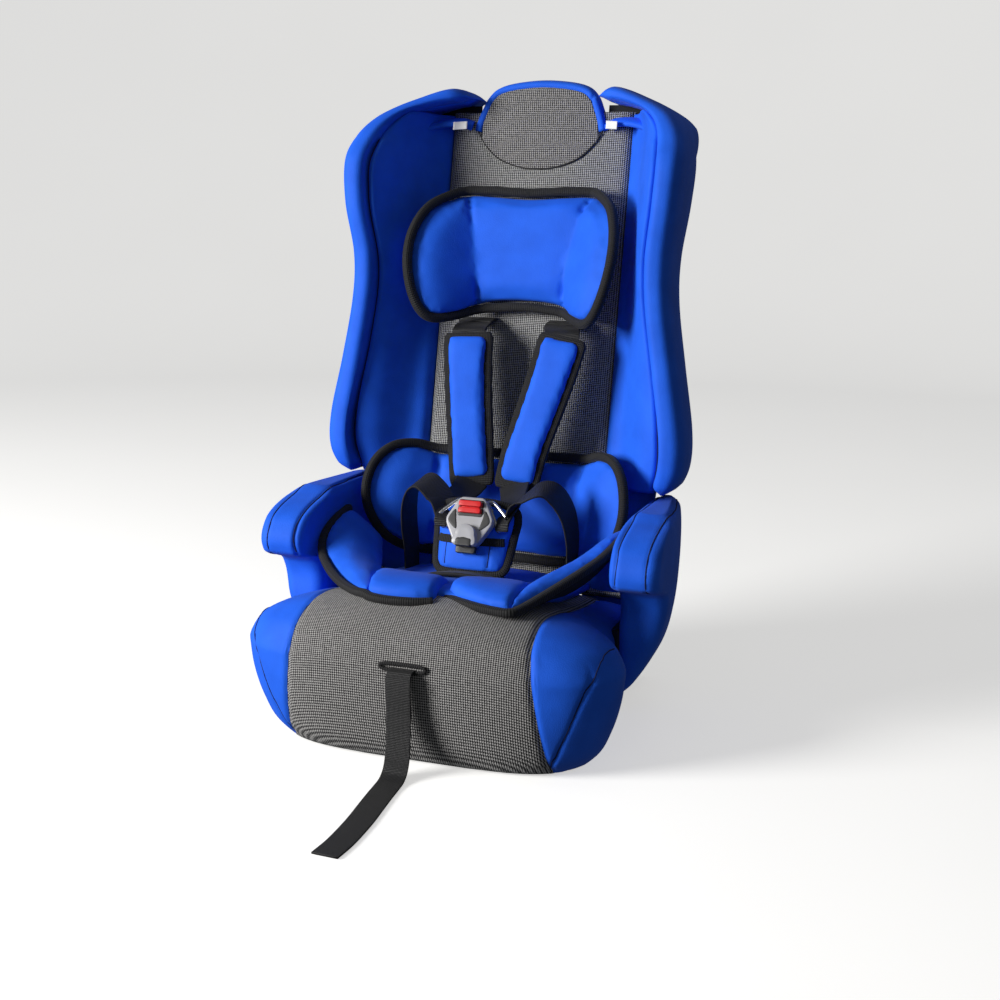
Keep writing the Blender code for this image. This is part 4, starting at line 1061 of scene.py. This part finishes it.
FRONT_REAR = {
    "left": ((-0.0760, -0.0780, 0.1490), (-0.0480, -0.0860, 0.1500), (-0.0160, -0.0900, 0.1500),
             (0.0060, -0.0970, 0.1510)),
    "right": ((0.0920, -0.0780, 0.1490), (0.0680, -0.0720, 0.1490), (0.0420, -0.0780, 0.1490),
              (0.0170, -0.0900, 0.1490))}


def thigh_insert():
    """The seat part of the insert: a pad under the child, and a lobe turned up along each thigh."""
    y, x = np.meshgrid(np.linspace(-0.145, 0.055, 50), np.linspace(-0.105, 0.105, 60), indexing="ij")
    x = x * (1 - 0.28 * np.clip((-0.060 - y) / 0.085, 0, 1))
    dip = 0.003 + 0.005 * np.clip((y + 0.145) / 0.02, 0, 1) ** 0.5
    grid = np.stack([x, y, seat_top(x, y) + dip], -1)
    made = slab("insert_seat_fabric", grid, grid - (0, 0, 0.0065))
    dress(made, "blue", "base", ["insert_seat_pad"])
    for s, name in SIDES:
        lean = (-0.45 * s, -0.10, 1.0)
        side = patch_pad(f"thigh_side_{name}", LOBE_RIM[name], LOBE_INNER[name], 0.0105, 0.004, lean)
        swell(side, 0.003)
        dress(side, "blue", "base", [f"thigh_bolster_{name}"])
        # painted shade: the undersides of the thigh pads are made black
        black_underside(side, lean)
        front = patch_pad(f"thigh_front_{name}", FRONT_EDGE[name], FRONT_REAR[name], 0.0185, 0.001,
                          (0, -0.25, 1.0), skew=1.15, ends=7.0)
        swell(front, 0.003)
        dress(front, "blue", "base")
        black_underside(front, (0, -0.25, 1.0), -0.35)
        rim = np.vstack([spline(LOBE_RIM[name], 70), spline(FRONT_EDGE[name], 50)[2:]])
        rim = spline(rim[::4], 150)
        ahead = unit(np.gradient(rim, axis=0))
        outward = unit(np.cross(ahead, (0, 0, 1.0))) * (1 if s < 0 else -1)
        if (outward[75] * (rim[75] - (0, -0.05, 0.15))).sum() < 0:
            outward = -outward
        tape = sweep(f"thigh_binding_{name}", rim + outward * 0.0020 - (0, 0, 0.0005), outward,
                     0.0090, 0.0085, square=0.7)
        dress(tape, "binding", "base")


# ---- harness -------------------------------------------------------------------------------
PAD_LINE = {
    "left": ((-0.0495, 0.0850, 0.3930), (-0.0465, 0.0760, 0.3600), (-0.0410, 0.0660, 0.3150),
             (-0.0345, 0.0560, 0.2720), (-0.0290, 0.0470, 0.2300)),
    "right": ((0.0590, 0.0850, 0.3930), (0.0520, 0.0760, 0.3600), (0.0400, 0.0660, 0.3150),
              (0.0280, 0.0560, 0.2720), (0.0200, 0.0470, 0.2280))}
PAD_TOP_WIDTH, PAD_FOOT_WIDTH, PAD_FACE_SHARE = 0.056, 0.050, 0.79
WEBBING_TAIL = {
    "left": ((-0.0285, 0.0460, 0.2360), (-0.0300, 0.0310, 0.2290), (-0.0325, 0.0110, 0.2240),
             (-0.0335, -0.0070, 0.2190), (-0.0338, -0.0210, 0.2140), (-0.0338, -0.0310, 0.2070),
             (-0.0338, -0.0320, 0.2010)),
    "right": ((0.0205, 0.0460, 0.2360), (0.0250, 0.0310, 0.2290), (0.0300, 0.0110, 0.2240),
              (0.0333, -0.0070, 0.2190), (0.0338, -0.0210, 0.2140), (0.0338, -0.0310, 0.2070),
              (0.0338, -0.0320, 0.2010))}


def rounded_ends(count, over, least):
    """Shares that grow from least to 1 over a few points at each end."""
    ends = np.minimum(np.arange(count), np.arange(count)[::-1]) + 0.4
    ease = np.sqrt(np.clip(1 - (1 - np.minimum(ends, over) / over) ** 2, 0, 1))
    return least + (1 - least) * ease


def shoulder_harness():
    for s, name in SIDES:
        across = np.array((1.0, 0.0, 0.17 * s))
        line = spline(PAD_LINE[name], 80)
        width = np.linspace(PAD_TOP_WIDTH, PAD_FOOT_WIDTH, 80)
        backing = sweep(f"shoulder_pad_binding_{name}", line, across, width * rounded_ends(80, 5, 0.78),
                        0.0085 * rounded_ends(80, 4, 0.4), around=44, square=0.45)
        dress(backing, "binding", stands_for=[f"shoulder_pad_{name}"])
        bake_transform(backing)
        front = line[1:-5] - (0, 0.0042, 0.0008)
        count = len(front)
        face_width = width[1:-5] * PAD_FACE_SHARE
        made = sweep(f"shoulder_pad_fabric_{name}", front, across,
                     face_width * rounded_ends(count, 6, 0.80), 0.0120 * rounded_ends(count, 6, 0.30),
                     around=44, square=0.50)
        swell(made, 0.0015, 0.004)
        dress(made, "blue")
        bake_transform(made)
        top = PAD_LINE[name][0][0]
        upper = spline([(s * 0.0500, 0.1330, 0.4060), (s * 0.0500, 0.1180, 0.4055),
                        (s * 0.0500, 0.1050, 0.4020), (0.7 * top + s * 0.015, 0.0880, 0.3970),
                        (top, 0.0800, 0.3830)], 40)
        strap = sweep(f"shoulder_webbing_{name}", upper, (1, 0, 0), WEBBING, 0.0022, square=0.18, around=20)
        dress(strap, "webbing")
        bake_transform(strap)
        tail = spline(WEBBING_TAIL[name], 50)
        strap = sweep(f"harness_webbing_{name}", tail, (1, 0, 0.35 * s),
                      np.linspace(0.036, 0.013, 50), 0.0030, square=0.25, around=20)
        dress(strap, "webbing", "base", [f"harness_strap_{name}"])


LAP_ROUTE = ((0.0350, -0.0230, 0.2090), (0.0430, -0.0100, 0.2260), (0.0630, 0.0000, 0.2400),
             (0.0780, 0.0070, 0.2360), (0.0890, 0.0160, 0.2160), (0.0930, 0.0240, 0.1880),
             (0.0920, 0.0290, 0.1600), (0.0920, 0.0300, 0.1250))


def lap_straps():
    share = np.linspace(0, 1, 90)
    wide = np.interp(share, (0.0, 0.12, 1.0), (0.018, 0.034, 0.036))
    across = np.array([(0.25 * (1 - t), 1.0, 0.45 * (1 - t)) for t in share])
    for s, name in SIDES:
        line = spline([(s * x, y, z) for x, y, z in LAP_ROUTE], 90)
        strap = sweep(f"lap_webbing_{name}", line, across, wide, 0.0022, square=0.18, around=20)
        dress(strap, "webbing", "base", [f"lap_strap_{name}"])


CROTCH_OUTLINE = ((0.0, -0.001), (0.026, -0.001), (0.0345, 0.002), (0.0375, 0.012), (0.0400, 0.034),
                  (0.0415, 0.050), (0.0370, 0.0590), (0.020, 0.0640), (0.0, 0.0650))
CROTCH_ROUTE = ((0, -0.030, 0.126), (0, -0.030, 0.140), (0, -0.029, 0.156), (0, -0.022, 0.176))


def crotch_place(a, b, depth):
    """The crotch pad's sheet: it leans back and bows round the child."""
    a, b, depth = np.broadcast_arrays(np.asarray(a, float), b, depth)
    bow = 4.0 * a ** 2
    return np.stack([a, -0.036 + b * 0.40 - depth + bow, 0.1575 + b + 0.35 * depth], -1)


def crotch_pieces():
    # A black patch on the seat in front of the foot of the crotch pad.
    y, x = np.meshgrid(np.linspace(-0.066, -0.026, 24), np.linspace(-0.037, 0.037, 30), indexing="ij")
    grid = np.stack([x, y, seat_top(x, y) + 0.0098 + 0.004 * np.cos(38 * x)], -1)
    dress(slab("crotch_black_patch", grid, grid - (0, 0, 0.0040)), "binding", "base")
    line = spline(CROTCH_ROUTE, 40)
    strap = sweep("crotch_webbing", line, (1, 0, 0), WEBBING, 0.0022, square=0.18, around=20)
    dress(strap, "webbing", "base", ["crotch_strap"])
    outline = spline(mirrored(CROTCH_OUTLINE), 160, closed=True)
    made = pad("crotch_fabric", outline, crotch_place, 0.0075, 0.003, edge=0.0015, rings=20, power=3.2,
               centre=(0, 0.032))
    swell(made, 0.002, 0.004)
    for a, name in ((-0.0270, "left"), (0.0215, "right")):
        b = np.linspace(0.003, 0.0250, 24)
        course = crotch_place(a + 0 * b, b, 0.0085)
        seam(made, course, "base", f"crotch_stitch_{name}", 0.0022, 0.0014, 0.0009)
    dress(made, "blue", "base", ["crotch_pad"])
    bound("crotch_pad_binding", mirrored(CROTCH_OUTLINE), crotch_place, "base", 0.0090, 0.0075, 0.0022)
    a = np.linspace(-0.0400, 0.0400, 50)
    spots = [made.closest_point_on_mesh(Vector(p))[1] for p in crotch_place(a, 0.0275, 0.012)]
    band = sweep("crotch_pad_band", spline(spots[::4], 60), (0, 0.40, 1.0), 0.0085, 0.0026, square=0.3,
                 around=16)
    dress(band, "binding", "base")


# ---- buckle --------------------------------------------------------------------------------
def buckle_solid(name, outline, low, high, look, body, stands_for=(), bevel=0.0016, around=96):
    """A moulded piece with rounded edges in the buckle's frame."""
    line = spline(outline, around, closed=True)
    middle = line.mean(0)
    rings = []
    for out, share in ((low, 0.5), (low, 0.96), (low + bevel * 0.4, 0.99), (low + bevel, 1.0),
                       (high - bevel, 1.0), (high - bevel * 0.4, 0.985), (high - bevel * 0.08, 0.95),
                       (high, 0.90), (high, 0.5)):
        flat = middle + (line - middle) * share
        rings.append(on_buckle(flat[:, 0], flat[:, 1], out))
    made = lofted(name, rings)
    return dress(made, look, body, stands_for)


def corner_outline(half):
    """A mirrored outline whose corners keep their shape when a smooth curve runs through it."""
    points = mirrored(half)
    out = []
    for a, b in zip(points, points[1:] + points[:1]):
        a, b = np.array(a), np.array(b)
        out += [a + (b - a) * t for t in (0.12, 0.5, 0.88)]
    return out


BUCKLE_OUTLINE = ((0.0, -0.0270), (0.0105, -0.0270), (0.0150, -0.0220), (0.0250, -0.0045),
                  (0.0255, 0.0020), (0.0150, 0.0215), (0.0110, 0.0240), (0.0, 0.0240))
INLAY_OUTLINE = ((0.0128, -0.0105), (0.0215, -0.0040), (0.0222, 0.0015), (0.0165, 0.0100), (0.0145, 0.0010))
RED_CAPS = (("lower", 0.0065, 0.0120, 0.0158), ("upper", 0.0132, 0.0190, 0.0168))   # bottom, top, height
NOSE_HALF, NOSE_RISE, NOSE_START = 0.0112, 0.0105, -0.0160


def buckle():
    body = corner_outline(BUCKLE_OUTLINE)
    buckle_solid("buckle_rear_half", body, -0.0110, -0.0035, "grey", "base", ["buckle_back"])
    buckle_solid("buckle_front_half", body, 0.0015, 0.0112, "grey", "base", ["buckle_front"])
    for s, name in SIDES:
        side = [(s * x, up) for x, up in INLAY_OUTLINE]
        buckle_solid(f"buckle_inlay_{name}", side, 0.0100, 0.0118, "dark", "base", bevel=0.0005)
    well = corner_outline([(0.0, 0.0035), (0.0140, 0.0035), (0.0140, 0.0210), (0.0, 0.0210)])
    buckle_solid("buckle_well", well, 0.0100, 0.0116, "dark", "base", bevel=0.0006)
    for name, low, high, top in RED_CAPS:
        middle = (low + high) / 2
        cap = corner_outline([(0.0, low), (0.0122, low), (0.0126, middle), (0.0116, high), (0.0, high)])
        stands = ["release_button"] if name == "lower" else ()
        buckle_solid(f"red_button_{name}", cap, 0.0058, top, "red", "button", stands, bevel=0.0018)
    bridge = corner_outline([(0.0, 0.0080), (0.0100, 0.0080), (0.0100, 0.0180), (0.0, 0.0180)])
    buckle_solid("red_button_core", bridge, 0.0064, 0.0126, "red", "button")
    turn = np.linspace(0, pi, 24)
    nose = [(NOSE_HALF * cos(t), NOSE_START + NOSE_RISE * sin(t)) for t in turn]
    nose += [(-0.0118, -0.0275), (0.0118, -0.0275)]
    buckle_solid("buckle_nose", nose, 0.0095, 0.0185, "grey", "base", bevel=0.0045)
    mouth = corner_outline([(0.0, -0.0290), (0.0088, -0.0290), (0.0080, -0.0215), (0.0, -0.0200)])
    buckle_solid("buckle_mouth", mouth, 0.0120, 0.0192, "dark", "base", bevel=0.0010)
    tab = corner_outline([(0.0, -0.0345), (0.0105, -0.0345), (0.0110, -0.0270), (0.0, -0.0270)])
    buckle_solid("buckle_tab", tab, 0.0020, 0.0085, "dark", "base", bevel=0.0015)


LOOP_OUTLINE = ((0.0110, 0.0120), (0.0150, 0.0160), (0.0225, 0.0060), (0.0275, -0.0045),
                (0.0310, -0.0070), (0.0365, -0.0030), (0.0385, 0.0030), (0.0355, 0.0080),
                (0.0270, 0.0160), (0.0190, 0.0220), (0.0130, 0.0205))
BLADE_OUTLINE = ((0.0080, -0.0040), (0.0190, -0.0040), (0.0200, 0.0150), (0.0080, 0.0150))


def tongues():
    for s, name in SIDES:
        line = spline(LOOP_OUTLINE, 120, closed=True)
        wire = sweep(f"tongue_loop_{name}", flip(on_buckle(line[:, 0], line[:, 1], 0.0005), s), (0, -1, 0),
                     0.0030, 0.0042, closed=True, square=0.8)
        dress(wire, "chrome", f"tongue_{name}", [f"tongue_{name}"])
        line = spline(BLADE_OUTLINE, 60, closed=True)
        rings = [flip(on_buckle(line[:, 0], line[:, 1], h), s) for h in (-0.0028, 0.0004)]
        dress(lofted(f"tongue_blade_{name}", rings), "steel", f"tongue_{name}")


# ---- labels and carried-over frame parts ---------------------------------------------------
def labels():
    for s, name in SIDES:
        grid = []
        for t in np.linspace(0, 1, 12):
            a = s * (0.0800 + 0.014 * t)
            b = np.linspace(0.6130, 0.6215, 8)
            grid.append(on_back(np.full(8, a), b - 0.0012 * t, -0.0195 - 0.006 * t + 0.001 * sin(3 * t)))
        grid = np.array(grid)
        tag = slab(f"side_label_{name}", grid, grid + (0, 0.0006, 0))
        dress(tag, "label", "backrest")


def dress_frame():
    looks = {"base_shell": "shell", "armrest_frame_left": "shell", "armrest_frame_right": "shell",
             "back_shell": "shell", "hinge_rod": "steel", "yoke_plate": "steel", "yoke_strap": "webbing",
             "shoulder_strap_left": "webbing", "shoulder_strap_right": "webbing",
             "harness_pull_strap": "webbing"}
    for name, made in NODES.items():
        look = looks.get(name, "steel")
        if name.startswith(("back_rib", "back_hook")):
            look = "shell"
        made.data.materials.clear()
        made.data.materials.append(LOOKS[look])


def main():
    set_stage()
    dress_frame()
    add_slot_welt()
    add_pull_strap()
    seat_cover()
    armrests()
    back_panel()
    wing_bands()
    wing_faces()
    belt_slits()
    lower_back()
    cover_bridge()
    head_pillow()
    torso_insert()
    thigh_insert()
    shoulder_harness()
    lap_straps()
    crotch_pieces()
    buckle()
    tongues()
    labels()


main()
